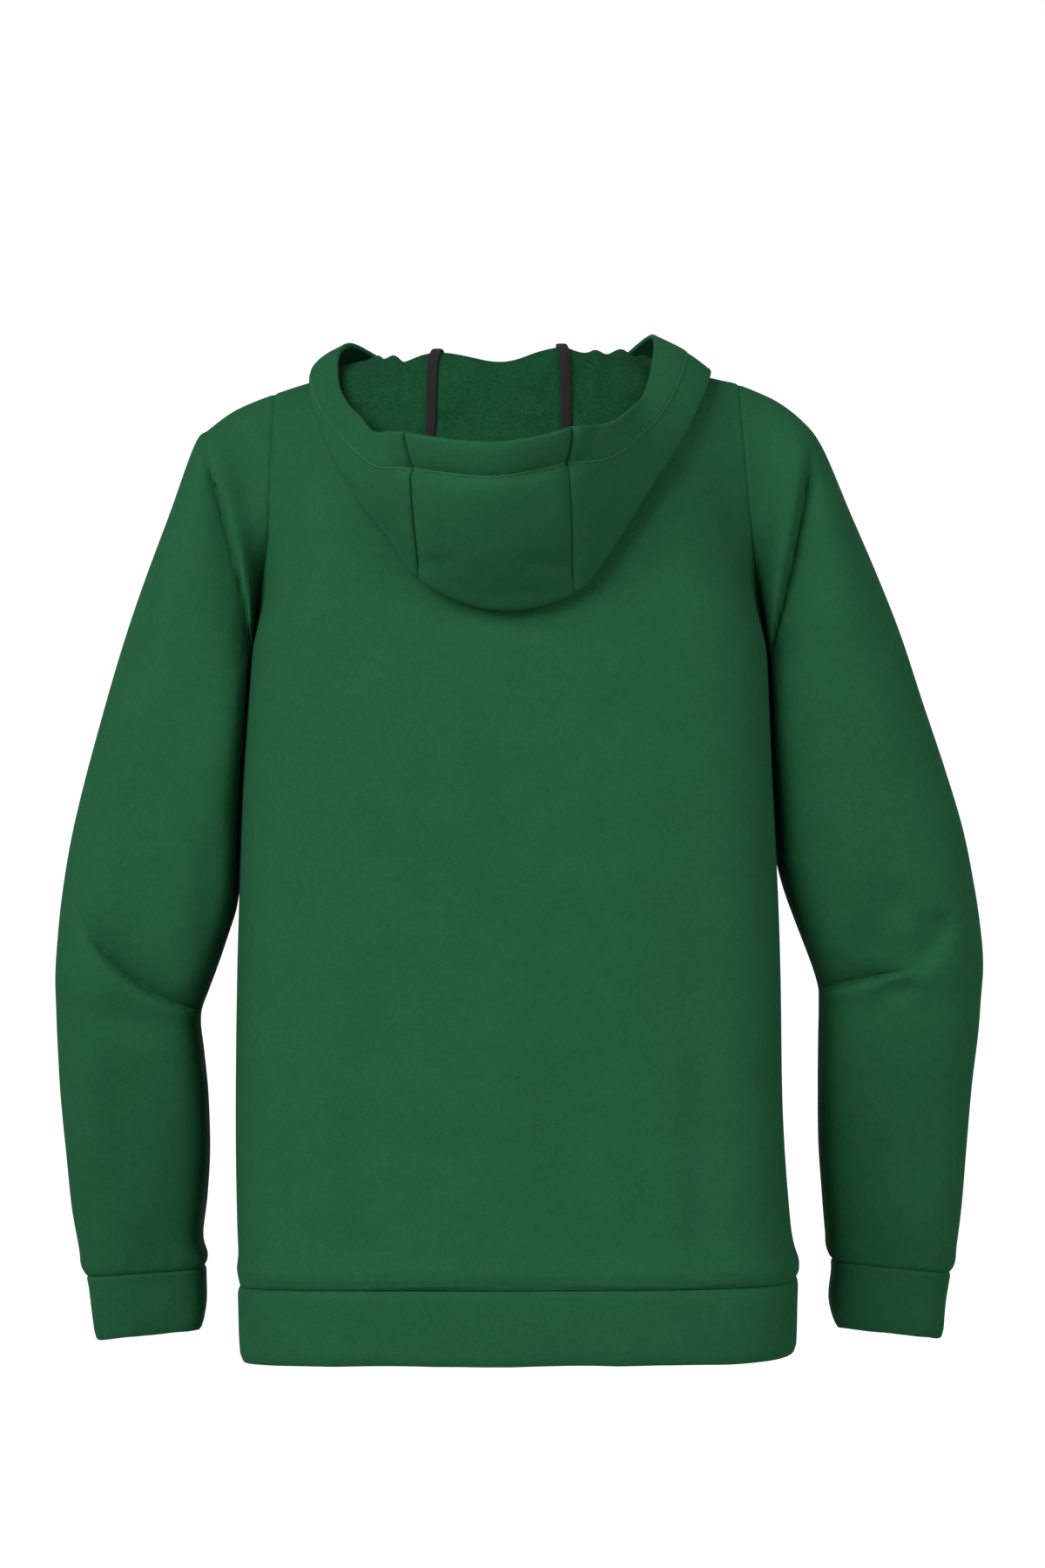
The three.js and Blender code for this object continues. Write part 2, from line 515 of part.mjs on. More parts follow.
function sleeve(side) {
  const grid = sleeveGrid(side);
  return wallGeometry(grid, moved(grid, outwardTube(grid), () => -CLOTH), true);
}

function cuff(side) {
  const grid = ringsThrough(CUFFS[sideName(side)], CUFF_RINGS).map((ring) =>
    Array.from({ length: RING_COLUMNS }, (_, j) => ringPoint(ring, j / RING_COLUMNS)),
  );
  return wallGeometry(grid, moved(grid, outwardTube(grid), () => -BAND), true);
}

// The hem band goes round under the two body panels' lowest rows.
function hemBand() {
  const { back, front } = body;
  const ends = 2 * BODY_COLUMNS;
  const loop = [
    ...back.grid[0].map((p, j) => ({ p, n: back.normals[0][j] })),
    ...front.grid[0].slice(1, ends).reverse().map((p, k) => ({ p, n: front.normals[0][ends - 1 - k] })),
  ];
  const grid = HEM_ROWS.map(({ drop, out }) =>
    loop.map(({ p, n }) => {
      const flat = n.clone().setZ(0).normalize();
      const q = p.clone().addScaledVector(flat, out);
      if (Math.abs(p.y) < SEAM_GAP) q.y = 0;
      q.z -= SEAM_GAP + drop * HEM_HEIGHT;
      return q;
    }),
  );
  return wallGeometry(grid, moved(grid, outwardTube(grid), () => -BAND), true);
}

// The upper body's outer faces as facets that face out.
const bodyFacets = Object.entries(body).flatMap(([face, { grid }]) => {
  const facets = [];
  for (let i = BODY_ROWS; i < grid.length - 1; i++) {
    for (let j = 0; j < grid[0].length - 1; j++) {
      const corners = [grid[i][j], grid[i][j + 1], grid[i + 1][j + 1], grid[i + 1][j]];
      if (face === "front") corners.reverse();
      const [a, b, c, d] = corners;
      facets.push(new THREE.Triangle(a, b, c), new THREE.Triangle(a, c, d));
    }
  }
  return facets;
});

// Moves a point out to at least a distance from the upper body.
const touch = new THREE.Vector3();
function liftClear(p, distance) {
  let nearest = Infinity;
  const foot = new THREE.Vector3();
  const out = new THREE.Vector3();
  for (const facet of bodyFacets) {
    facet.closestPointToPoint(p, touch);
    const away = touch.distanceTo(p);
    if (away < nearest) {
      nearest = away;
      foot.copy(touch);
      facet.getNormal(out);
    }
  }
  const height = p.clone().sub(foot).dot(out);
  if (height < distance) p.addScaledVector(out, distance - height);
  return p;
}

// A place on the neck seam, along the body panels' own straight edges.
function neckPoint(at) {
  const back = Math.abs(at) <= 0.5;
  const { grid } = body[back ? "back" : "front"];
  const edge = grid[grid.length - 1];
  const column = BODY_COLUMNS + Math.sign(at) * (back ? Math.abs(at) : 1 - Math.abs(at)) * BODY_COLUMNS;
  const low = Math.min(edge.length - 2, Math.floor(column));
  const p = edge[low].clone().lerp(edge[low + 1], column - low);
  const inward = new THREE.Vector3(-p.x, -p.y, 0).normalize();
  return p.addScaledVector(inward, SEAM_GAP).setZ(p.z + SEAM_GAP);
}

// One strip of the hood, as a curve from the neck seam over the crest and the fold to the face edge.
function hoodStrip(row) {
  const neck = neckPoint(row.neck);
  const crest = new THREE.Vector3(...row.crest);
  const fold = new THREE.Vector3(...row.fold);
  const rim = new THREE.Vector3(...row.rim);
  const outward = fold.clone().sub(crest).setZ(0).normalize();
  const turn = crest.clone().addScaledVector(outward, CREST_WIDTH).setZ(crest.z - CREST_FALL);
  const inner = [turn, ...INNER_LAYER.map((share) => crest.clone().lerp(fold, share))];
  inner.forEach((p) => liftClear(p, HOOD_REST));
  const outer = OUTER_LAYER.map(({ share, fullness }) =>
    fold.clone().lerp(rim, share).addScaledVector(outward, row.belly * fullness),
  );
  return new THREE.CatmullRomCurve3([neck, crest, ...inner, fold, ...outer, rim], false, "centripetal");
}

function stripRows(strip) {
  const length = strip.getLength();
  const hem = HEM_LINES.map((line) => strip.getUtoTmapping(0, length - line));
  hem[HEM_LINES.length - 1] = 1;
  const upToHem = Array.from({ length: HOOD_ROWS }, (_, k) => (hem[0] * k) / HOOD_ROWS);
  return [...upToHem, ...hem].map((t) => strip.getPoint(t));
}

// The hood's outer face: rows from the neck seam to the face edge, across from the left front edge
// round the back to the right front edge. The centre panel's seams are two of its columns.
function hoodGrid() {
  const strips = HOOD.map((row) => stripRows(hoodStrip(row)));
  const last = HOOD.length - 1;
  const places = [
    ...even(HOOD_SIDE_COLUMNS, 0, HOOD_SEAMS.left),
    ...even(HOOD_CENTRE_COLUMNS, HOOD_SEAMS.left, HOOD_SEAMS.right).slice(1, -1),
    ...even(HOOD_SIDE_COLUMNS, HOOD_SEAMS.right, last),
  ];
  const neckPlaces = HOOD.map(({ neck }, at) => ({ at, neck }));
  return strips[0].map((_, i) => {
    const across = new THREE.CatmullRomCurve3(strips.map((strip) => strip[i]), false, "centripetal");
    return places.map((place) => {
      if (i === 0) return neckPoint(readColumn(neckPlaces, "at", "neck", place));
      return liftClear(across.getPoint(place / last), Math.min(HOOD_REST, HOOD_RISE * i));
    });
  });
}

const hood = { grid: hoodGrid() };
const hoodColumns = hood.grid[0].length;
for (const row of hood.grid) {
  row[0].x = Math.min(row[0].x, -FRONT_GAP);
  row[hoodColumns - 1].x = Math.max(row[hoodColumns - 1].x, FRONT_GAP);
}
hood.normals = gridNormals(hood.grid, false);
// Beside the face edge at the centre back, outwards is away from the neck.
if (hood.normals[HOOD_ROWS][HOOD_SIDE_COLUMNS].y > 0) hood.normals.flat().forEach((n) => n.negate());
for (const row of hood.normals) {
  for (const n of [row[0], row[hoodColumns - 1]]) n.setX(0).normalize();
}
const hemStand = (i) => (i > HOOD_ROWS ? HEM_STEP : 0);
hood.inner = moved(hood.grid, hood.normals, (i) => -CLOTH - hemStand(i));
hood.outer = moved(hood.grid, hood.normals, (i) => hemStand(i));

// The columns of a hood panel, drawn back from its seams by half a gap.
function hoodPanel(from, to) {
  const panelOf = (grid) =>
    grid.map((row) => {
      const part = row.slice(from, to + 1).map((p) => p.clone());
      const last = part.length - 1;
      const drawBack = (p, next) => p.addScaledVector(next.clone().sub(p).normalize(), CURVED_GAP / 2);
      if (from > 0) drawBack(part[0], part[1]);
      if (to < hoodColumns - 1) drawBack(part[last], part[last - 1]);
      return part;
    });
  return wallGeometry(panelOf(hood.outer), panelOf(hood.inner), false);
}

const seamColumn = { left: HOOD_SIDE_COLUMNS, right: HOOD_SIDE_COLUMNS + HOOD_CENTRE_COLUMNS };

// Tape over the inside of a hood seam, from just above the neck seam to just inside the turned hem.
function seamTape(name) {
  const j = seamColumn[name];
  const from = 1;
  const to = HOOD_ROWS + HEM_LINES.length - 2;
  const place = (i, k) => {
    const here = hood.inner[i][j];
    if (k === 0) return here.clone();
    const beside = hood.inner[i][j + k].clone().sub(here);
    return here.clone().addScaledVector(beside.normalize(), TAPE_WIDTH / 2);
  };
  const lines = Array.from({ length: to - from }, (_, n) => from + n);
  const base = lines.map((i) => [-1, 0, 1].map((k) => place(i, k)));
  const out = lines.map((i) => [-1, 0, 1].map(() => hood.normals[i][j]));
  return wallGeometry(
    moved(base, out, () => -TAPE_GAP),
    moved(base, out, () => -TAPE_GAP - TAPE_THICK),
    false,
  );
}

const hoodie = new THREE.Group();
hoodie.add(
  piece("back_panel", bodyPanel("back"), fleece),
  piece("front_panel", bodyPanel("front"), fleece),
  piece("hem_band", hemBand(), fleece),
  piece("hood_centre", hoodPanel(seamColumn.left, seamColumn.right), fleece),
  piece("hood_side_left", hoodPanel(0, seamColumn.left), fleece),
  piece("hood_side_right", hoodPanel(seamColumn.right, hoodColumns - 1), fleece),
);
for (const [name, side] of [["left", -1], ["right", 1]]) {
  hoodie.add(
    piece(`sleeve_${name}`, sleeve(side), fleece),
    piece(`cuff_${name}`, cuff(side), fleece),
    piece(`seam_tape_${name}`, seamTape(name), tapeCloth),
  );
}

export default hoodie;
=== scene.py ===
# A pullover hoodie, filled out as if worn, with its hood down on the back: its cloth, seams and sewing.
# Tables and surface maths are in millimetres, in the frame's own axes: +X is the wearer's right, +Y the
# wearer's front, +Z up, and the origin lies midway between the two high shoulder points. Meshes are made
# in metres.
import math

import bpy
import numpy as np
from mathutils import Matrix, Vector, noise
from mathutils.bvhtree import BVHTree


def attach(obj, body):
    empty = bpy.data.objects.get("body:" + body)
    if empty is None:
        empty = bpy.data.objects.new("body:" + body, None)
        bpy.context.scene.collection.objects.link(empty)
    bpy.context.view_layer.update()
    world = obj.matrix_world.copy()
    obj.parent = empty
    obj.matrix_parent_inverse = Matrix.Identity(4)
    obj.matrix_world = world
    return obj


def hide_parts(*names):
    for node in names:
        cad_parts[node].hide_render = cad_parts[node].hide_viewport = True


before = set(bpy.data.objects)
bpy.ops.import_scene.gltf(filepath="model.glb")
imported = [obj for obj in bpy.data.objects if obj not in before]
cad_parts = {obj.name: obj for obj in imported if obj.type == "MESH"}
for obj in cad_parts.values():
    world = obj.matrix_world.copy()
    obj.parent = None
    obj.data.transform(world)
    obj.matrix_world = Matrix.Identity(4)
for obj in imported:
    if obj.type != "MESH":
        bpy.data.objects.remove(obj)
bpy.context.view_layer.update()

bpy.ops.object.select_all(action="DESELECT")

MM = 0.001

# Cloth and sewing
CLOTH = 2.0  # one layer of fleece
BAND = 3.2  # cuffs and hem band, cut double
HEM_STEP = 0.9  # how far the turned hem of the hood stands out on each face
SEAM_GAP = 0.3
STITCHED_GAP = 0.3  # between two sewn edges at the armholes and the hood's seams
SEAM_DIP = 0.8  # how far the cloth rolls in at a seam
SEAM_REACH = 1.5  # and over what width
ALLOWANCE = 7  # of the sleeve, lying under the body at the armhole
ALLOWANCE_THICK = 1.2
ALLOWANCE_GAP = 0.4
TAPE_WIDTH = 8
TAPE_THICK = 1.4
TAPE_GAP = 0.6
STITCH_PITCH = 2.1
STITCH_LENGTH = 1.5
STITCH_THICK = 0.6
STITCH_LIFT = 0.12  # of its middle, off the cloth
STITCH_LINE = 23.8  # from the face edge of the hood
STITCH_DIP = 0.55  # how far the row of stitches pulls the cloth in

# Body
NECK_HALF = 95
NECK_CURVE = 1.6
SHOULDER_CURVE = 1.3
UNDERARM = -218
HEM_HEIGHT = 56
CENTRE_HANDLE = 0.9
SIDE_HANDLE = 0.9
SHOULDER_ROUNDNESS = 2.3
NECK_REACH = 0.6
ARMHOLE_TURN = 44
UNDERARM_TURN = 70
ARMHOLE_CURVE = 0.45
SIDE_FADE = 3

FACES = {
    "back": dict(sign=-1, neck_depth=62, neck_drop=18, armhole_depth=62, neck_roundness=1.55),
    "front": dict(sign=1, neck_depth=66, neck_drop=84, armhole_depth=58, neck_roundness=1.3),
}
SHOULDER_DROP = {"left": 21, "right": 14}
HEM_SEAM = {"left": -684, "centre": -681, "right": -676}


def table(columns, *rows):
    """A table as one array for each named column."""
    return {name: np.array(values) for name, values in zip(columns.split(), zip(*rows))}


# Half widths to the wearer's left and right, and depths of the back and front, at each height.
BODY = table(
    "z left right back front",
    (-690, 203, 210, 120, 122),
    (-672, 203.5, 212, 123, 126),
    (-640, 205, 207, 121, 126),
    (-560, 206, 202, 118, 127),
    (-460, 205, 200, 117, 130),
    (-390, 203, 198, 119, 133),
    (-310, 200, 195, 123, 135),
    (-218, 194, 191, 125, 132),
    (-185, 189, 186, 125, 132),
    (-130, 181, 178, 125, 132),
    (-75, 179, 173, 125, 132),
    (-20, 177, 169, 125, 132),
)
# The hem band from its seam down: share of its height, and distance outside the body's line.
HEM_ROWS = table("drop out", (0, -0.6), (0.12, 1.2), (0.5, 1.0), (0.93, -0.4), (1, -2))


def both_sides(*rows):
    """Rings of the left and right sleeve or cuff. Each row has the left and the right ring's outer and inner
    points in the plane of the shoulders, as x and z of each, and then their centre's y and half depth."""
    return {
        name: table("at outer_x outer_z inner_x inner_z mid half", *((k, *row[side], *row[2:]) for k, row in enumerate(rows)))
        for side, name in enumerate(("left", "right"))
    }


SLEEVES = both_sides(
    ((-177, -21, -194, -218), (169, -14, 191, -218), 0, 60),
    ((-207, -33, -197.4, -234), (197, -26, 194.5, -234), 5, 64),
    ((-226, -46.5, -198.4, -254), (217, -42, 195.4, -254), 5, 72),
    ((-237, -58, -199, -275), (231, -61, 195.2, -275), 9, 75),
    ((-255.5, -110, -200.5, -300), (251.5, -108, 195, -300), 13, 77),
    ((-274.5, -160, -202, -326), (271.5, -154, 196.5, -324), 16, 77),
    ((-290.5, -208, -203.2, -351), (290, -200, 197.6, -347), 18, 77),
    ((-306, -259, -204.2, -378), (308, -252, 199.2, -370), 20, 75),
    ((-319, -308, -207, -404), (324, -300, 204.5, -392), 21, 72),
    ((-329, -353, -215, -428), (338, -346, 212, -414), 22, 69),
    ((-336, -397, -222, -448), (346.5, -390, 220, -435), 23, 66),
    ((-340, -431, -229, -467), (351, -424, 226.5, -452), 25, 64),
    ((-342, -456, -233.5, -480), (352.5, -448, 230.5, -466), 27, 62),
    ((-342, -480, -235, -493), (351.5, -472, 231.5, -481), 31, 59),
    ((-341.5, -508, -232.5, -513), (350, -500, 231.5, -504), 34, 58),
    ((-340, -546, -229, -547), (346, -540, 231.5, -541), 41, 55),
    ((-336.5, -590, -228, -587), (342.5, -584, 232, -582), 50, 51),
    ((-332.5, -630, -230.5, -624), (339, -628, 235, -622), 58, 47),
    ((-327, -661, -234, -653), (336, -657, 237.5, -649), 64, 43),
    ((-326, -675, -231, -668), (335, -671, 238, -662), 67, 41),
    ((-322.5, -683, -232, -676), (332, -680, 241.5, -671), 68, 38.5),
)
SLEEVE_ROUNDNESS = {"outer": 2.8, "inner": 5}
SLEEVE_CLEARANCE = 0.6  # from the body's side, below the underarm
ARMHOLE_FADE = 5
FACING_FADE = 2.6

CUFFS = both_sides(
    ((-322, -683.4, -232, -676.4), (331.5, -680.4, 241.5, -671.4), 68, 38),
    ((-320.5, -692, -231.5, -685), (330.5, -689, 241.5, -680), 70, 37),
    ((-318.5, -711, -231.5, -704), (328, -709, 240, -701), 74, 36),
    ((-316, -731, -234.5, -723), (326, -730, 244, -721), 78, 34.5),
)

# Folds. Each runs on a curve from its top, by a point, to its foot, given as x and z. It is a trough of
# that depth, or a ridge where the depth is below nothing, and spreads by "left" and by "right" of the
# line as drawn with +X to the right. "fade" gives the shares of its length over which it comes and goes.
# A sharp one comes to a crease at its line, and a soft one is round.
def folds(*rows):
    columns = "face top by foot depth left right fade sharp".split()
    return [dict(zip(columns, row)) for row in rows]


BODY_FOLDS = folds(
    ("back", (-96, -390), (-112, -540), (-106, -688), 3.5, 20, 26, (0.5, 0.2), False),
    ("back", (-74, -450), (-70, -590), (-66, -688), 3, 14, 22, (0.5, 0.2), False),
    ("back", (38, -430), (48, -560), (44, -688), 4.5, 22, 24, (0.5, 0.2), False),
    ("back", (126, -380), (146, -540), (140, -688), 5, 20, 26, (0.5, 0.2), False),
    ("back", (96, -470), (100, -580), (94, -688), 2, 12, 16, (0.5, 0.3), False),
    ("back", (-160, -420), (-170, -560), (-164, -688), 2.5, 12, 18, (0.5, 0.3), False),
    ("back", (70, -190), (124, -300), (156, -420), 3, 26, 30, (0.5, 0.5), False),
    ("back", (-150, -120), (-168, -200), (-176, -300), 2.5, 16, 20, (0.5, 0.5), False),
    ("front", (-60, -420), (-74, -580), (-70, -688), 6, 30, 26, (0.5, 0.2), False),
    ("front", (66, -440), (58, -590), (62, -688), 5, 26, 32, (0.5, 0.2), False),
    ("front", (-110, -400), (-126, -560), (-120, -688), 3, 18, 20, (0.5, 0.3), False),
    ("front", (-150, -150), (-120, -240), (-70, -300), 6, 20, 34, (0.4, 0.5), False),
    ("front", (148, -150), (124, -236), (80, -296), 6, 34, 20, (0.4, 0.5), False),
)
SLEEVE_FOLDS = folds(
    # left sleeve from behind: drag line at the armhole, elbow crease, soft folds over the elbow
    ("back", (-234, -54), (-207, -118), (-193, -212), 15, 27, 4, (0.35, 0.05), True),
    ("back", (-326, -402), (-298, -461), (-229, -482), 15, 5, 34, (0.55, 0.02), True),
    ("back", (-292, -300), (-290, -370), (-276, -440), 4, 14, 18, (0.4, 0.4), False),
    ("back", (-216, -330), (-222, -390), (-232, -450), 3.5, 12, 12, (0.4, 0.3), False),
    ("back", (-300, -500), (-296, -560), (-290, -640), 2, 14, 18, (0.4, 0.4), False),
    # right sleeve from behind
    ("back", (222, -60), (213, -128), (191, -214), 16, 4, 26, (0.3, 0.05), True),
    ("back", (300, -449), (266, -454), (228, -465), 14, 34, 4, (0.5, 0.02), True),
    ("back", (324, -404), (312, -440), (286, -452), 7, 16, 10, (0.3, 0.5), False),
    ("back", (292, -380), (276, -410), (262, -446), 5, 16, 20, (0.4, 0.3), False),
    ("back", (306, -462), (286, -467), (270, -462), 4, 8, 8, (0.4, 0.4), False),
    ("back", (318, -520), (312, -580), (302, -640), 2, 14, 18, (0.4, 0.4), False),
    # both from the front
    ("front", (-232, -66), (-212, -130), (-196, -206), 12, 26, 6, (0.35, 0.1), True),
    ("front", (-322, -420), (-290, -470), (-236, -484), 11, 5, 26, (0.5, 0.05), True),
    ("front", (224, -66), (206, -130), (194, -206), 12, 6, 26, (0.35, 0.1), True),
    ("front", (330, -408), (296, -456), (233, -468), 11, 26, 5, (0.5, 0.05), True),
)

# Hood: strips from the neck seam over a crest to a fold and back up to the face edge.
HOOD = table(
    "neck crest fold rim belly",
    (-1.0, (-1, 77, -70), (-1, 90, -58), (-1, 88, -36), 1),
    (-0.88, (-44, 70, -56), (-60, 96, -52), (-50, 78, -18), 3),
    (-0.74, (-80, 48, -22), (-112, 80, -32), (-94, 46, 4), 4),
    (-0.62, (-98, 23, 0), (-142, 38, -14), (-120, 12, 16), 5),
    (-0.52, (-101, 4, 5), (-151, -22, -10), (-130, -30, 7), 6),
    (-0.45, (-96, -15, 3), (-141, -80, -52), (-127, -70, -22), 7),
    (-0.38, (-87, -31, 1), (-122, -112, -91), (-115, -104, -43), 9),
    (-0.3, (-74, -46, 1), (-92, -127, -131), (-100, -144, -57), 9),
    (-0.2, (-55, -58, 2), (-68, -131, -163), (-74, -183, -62), 13),
    (0.0, (-8, -67, -3), (-12, -134, -186), (-12, -208, -68), 19),
    (0.17, (37, -62, 6), (45, -132, -174), (41, -192, -59), 13),
    (0.28, (64, -48, 4), (72, -130, -143), (76, -156, -50), 9),
    (0.37, (80, -30, 5), (104, -117, -92), (92, -108, -34), 10),
    (0.45, (90, -12, 5), (127, -88, -56), (101, -74, -17), 7),
    (0.53, (97, 6, 6), (148, -28, -7), (107, -30, 13), 6),
    (0.63, (97, 25, -1), (139, 38, -12), (104, 10, 23), 5),
    (0.75, (78, 49, -22), (108, 80, -32), (84, 46, 9), 4),
    (0.88, (44, 70, -56), (60, 96, -52), (48, 78, -16), 3),
    (1.0, (1, 77, -70), (1, 90, -58), (1, 88, -36), 1),
)
HOOD_SEAMS = {"left": 8, "right": 10}
HOOD_LAST = 18
RIM_LEAN = 8  # how far the edge behind the neck leans out, over the width of its turned hem
HEM_VALLEY = 3.0  # how far the cloth lies in along the stitches there
HOOD_REST = 2.8
CREST_WIDTH = 9
CREST_FALL = 3
HOOD_HEM = 25
FRONT_GAP = 1.0
INNER_LAYER = (0.3, 0.68)
OUTER_LAYER = ((0.1, 0.45), (0.36, 0.95), (0.7, 0.95))

# Grid sizes
BODY_COLUMNS = 96
BODY_ROWS = 92
YOKE_ROWS = 64
SLEEVE_RINGS = 300
RING_PEAKS = ((0, 0.35, 6), (11.8, 2.4, 1.6), (20, 0.4, 5))
RING_COLUMNS = 160
BAND_ROWS = 22
HOOD_ROWS = 80
HOOD_CENTRE_COLUMNS = 46
HOOD_SIDE_COLUMNS = 90


def clamp(t):
    return np.clip(t, 0, 1)


def mix(a, b, t):
    return a + (b - a) * t


def smooth(t):
    return clamp(t) ** 2 * (3 - 2 * clamp(t))


def unit(v):
    return v / np.maximum(np.linalg.norm(v, axis=-1, keepdims=True), 1e-12)


def bell(distance, width):
    return np.exp(-((distance / width) ** 2))


def points_of(x, y, z):
    return np.stack(np.broadcast_arrays(x, y, z), axis=-1).astype(float)


SQUEEZE = 0.88  # how much closer together steps are at a seam


def spaced(count, low=True, high=True):
    """Steps from 0 to 1, closer together at the ends that are named, where the cloth meets a seam."""
    part, start = (1, 0) if low and high else (0.5, 0.5 if high else 0)
    u = np.linspace(0, 1, count + 1) * part + start
    return (u - SQUEEZE * np.sin(2 * np.pi * u) / (2 * np.pi) - start) / part


def along_line(at, run, line):
    """Points on straight steps along a line, whose own points lie at the places in run."""
    return np.stack([np.interp(at, run, line[:, k]) for k in range(3)], axis=-1)


def gathered(count, length, peaks):
    """Steps from 0 to a length, closer together round each peak, given as its place, width and strength."""
    at = np.linspace(0, length, 2001)
    weight = 1 + sum(strength * bell(at - place, width) for place, width, strength in peaks)
    total = np.concatenate([[0], np.cumsum((weight[1:] + weight[:-1]) / 2)])
    return np.interp(np.linspace(0, total[-1], count + 1), total, at)


def read(rows, by, column, t):
    """The value of a column at t, on a smooth curve through a table's rows."""
    xs, ys = rows[by].astype(float), rows[column].astype(float)
    slopes = np.gradient(ys, xs, edge_order=1)
    slopes[1:-1] = (ys[2:] - ys[:-2]) / (xs[2:] - xs[:-2])
    i = np.clip(np.searchsorted(xs, t, side="right") - 1, 0, len(xs) - 2)
    step = xs[i + 1] - xs[i]
    f = clamp((t - xs[i]) / step)
    ends = ys[i] * (1 + 2 * f) * (1 - f) ** 2 + ys[i + 1] * f * f * (3 - 2 * f)
    return ends + step * (slopes[i] * f * (1 - f) ** 2 - slopes[i + 1] * f * f * (1 - f))


def quarter(turn, roundness):
    """A quarter of a superellipse: how far up and how far out at a share of its turn."""
    c, s = np.cos(turn * np.pi / 2), np.sin(turn * np.pi / 2)
    reach = (np.abs(c) ** roundness + np.abs(s) ** roundness) ** (-1 / roundness)
    return s * reach, c * reach


def fold_depth(folds, face, x, z):
    """How deep a table of folds presses the cloth in at places seen from the front or the back."""
    depth = np.zeros(np.shape(x))
    t = np.linspace(0, 1, 49)
    for fold in folds:
        if fold["face"] != face:
            continue
        top, by, foot = (np.array(fold[name], float) for name in ("top", "by", "foot"))
        line = np.outer((1 - t) ** 2, top) + np.outer(2 * t * (1 - t), by) + np.outer(t * t, foot)
        reach = 3 * max(fold["left"], fold["right"])
        near = (x > line[:, 0].min() - reach) & (x < line[:, 0].max() + reach)
        near &= (z > line[:, 1].min() - reach) & (z < line[:, 1].max() + reach)
        away = np.stack([x[near], z[near]], axis=-1)[:, None] - line
        distances = np.linalg.norm(away, axis=-1)
        nearest = distances.argmin(-1)
        distance = distances.min(-1)
        direction = np.gradient(line, axis=0)[nearest]
        beside = away[np.arange(len(nearest)), nearest]
        on_right = direction[:, 0] * beside[:, 1] - direction[:, 1] * beside[:, 0] > 0
        width = np.where(on_right, fold["right"], fold["left"])
        come, go = fold["fade"]
        along = smooth((t[nearest] + 0.04) / come) * smooth((1.04 - t[nearest]) / go)
        shape = np.exp(-distance / (0.6 * width)) if fold["sharp"] else bell(distance, width)
        depth[near] += fold["depth"] * along * shape
    return depth


# The cloth's unevenness: its height, its stretch along each axis, and where in the noise it starts.
UNEVEN = {
    "body_drape": (2.2, (70, 90, 190), 3.1),
    "body_puckers": (0.7, (40, 40, 11), 7.7),
    "body_ruckles": (0.9, (17, 60, 60), 1.3),
    "sleeve_drape": (2.0, (55, 60, 130), 5.5),
    "sleeve_puckers": (0.7, (40, 40, 12), 9.1),
    "sleeve_ruckles": (1.0, (13, 13, 60), 2.4),
    "cuff_drape": (0.9, (22, 22, 40), 4.2),
    "cuff_edge": (0.9, (18, 18, 400), 6.6),
    "hem_drape": (1.6, (34, 60, 70), 8.3),
    "hem_edge": (1.2, (60, 60, 400), 2.9),
    "hood_drape": (1.4, (34, 34, 40), 11.7),
}


def waver(kind, points, side=0):
    """Smooth noise at each point, of one of the kinds above. The two sides differ by their place in it."""
    height, stretch, start = UNEVEN[kind]
    scaled = points.reshape(-1, 3) / np.array(stretch) + (start + side)
    return height * np.array([noise.noise(p) for p in scaled]).reshape(points.shape[:-1])


def by_side(side, values):
    return np.where(side < 0, values["left"], values["right"])


TIPS = {name: abs(float(SLEEVES[name]["outer_x"][0])) for name in SLEEVES}


def top_edge(face, side, across):
    """The top edge of a body panel: half the neckline, then the shoulder seam, from the centre out."""
    shape = FACES[face]
    turn = np.minimum(across, 0.5) * np.pi
    dip = np.clip(np.cos(turn), 0, 1)
    out = clamp(2 * across - 1)
    neck = across <= 0.5
    x = np.where(neck, NECK_HALF * np.sin(turn), mix(NECK_HALF, by_side(side, TIPS), out))
    y = shape["sign"] * np.maximum(np.where(neck, shape["neck_depth"] * dip, 0), SEAM_GAP / 2)
    drop = np.where(neck, shape["neck_drop"] * dip**NECK_CURVE, by_side(side, SHOULDER_DROP) * out**SHOULDER_CURVE)
    return x, y, -drop


def body_points(face, across, up):
    """Points on a body panel's outer face. across runs from the left edge (-1) to the right one (1), and
    up from the hem seam (0) to the underarm (1) and to the shoulder and neck (2)."""
    shape = FACES[face]
    side = np.where(across < 0, -1, 1)
    t = np.abs(across)
    rise = np.clip(up - 1, 0, 1)
    arc_up, arc_out = quarter(rise, mix(shape["neck_roundness"], SHOULDER_ROUNDNESS, smooth(t / NECK_REACH)))
    top_x, top_y, top_z = top_edge(face, side, t)
    hem = mix(HEM_SEAM["centre"], by_side(side, HEM_SEAM), t**2)
    z = np.where(up <= 1, mix(hem, UNDERARM, up), mix(UNDERARM, top_z, arc_up))

    half = by_side(side, {name: read(BODY, "z", name, z) for name in ("left", "right")})
    centre_depth = read(BODY, "z", face, np.minimum(z, UNDERARM))
    opening = quarter(1 - clamp(rise / ARMHOLE_CURVE), 2)[1]
    edge_depth = np.maximum(SEAM_GAP / 2, shape["armhole_depth"] * opening)
    turn = np.radians(mix(90, ARMHOLE_TURN, smooth(rise / ARMHOLE_CURVE)))
    handle = SIDE_HANDLE * (centre_depth - edge_depth)

    a, b, c, d = (1 - t) ** 3, 3 * t * (1 - t) ** 2, 3 * t * t * (1 - t), t**3
    section_x = b * CENTRE_HANDLE * half + c * (half - handle * np.cos(turn)) + d * half
    section_y = (a + b) * centre_depth + c * (edge_depth + handle * np.sin(turn)) + d * edge_depth
    share = mix(section_x / half, top_x / by_side(side, TIPS), smooth(rise))
    x = side * half * share
    y = np.where(up > 1, mix(top_y, shape["sign"] * section_y, arc_out), shape["sign"] * section_y)
    return points_of(x, y, z)


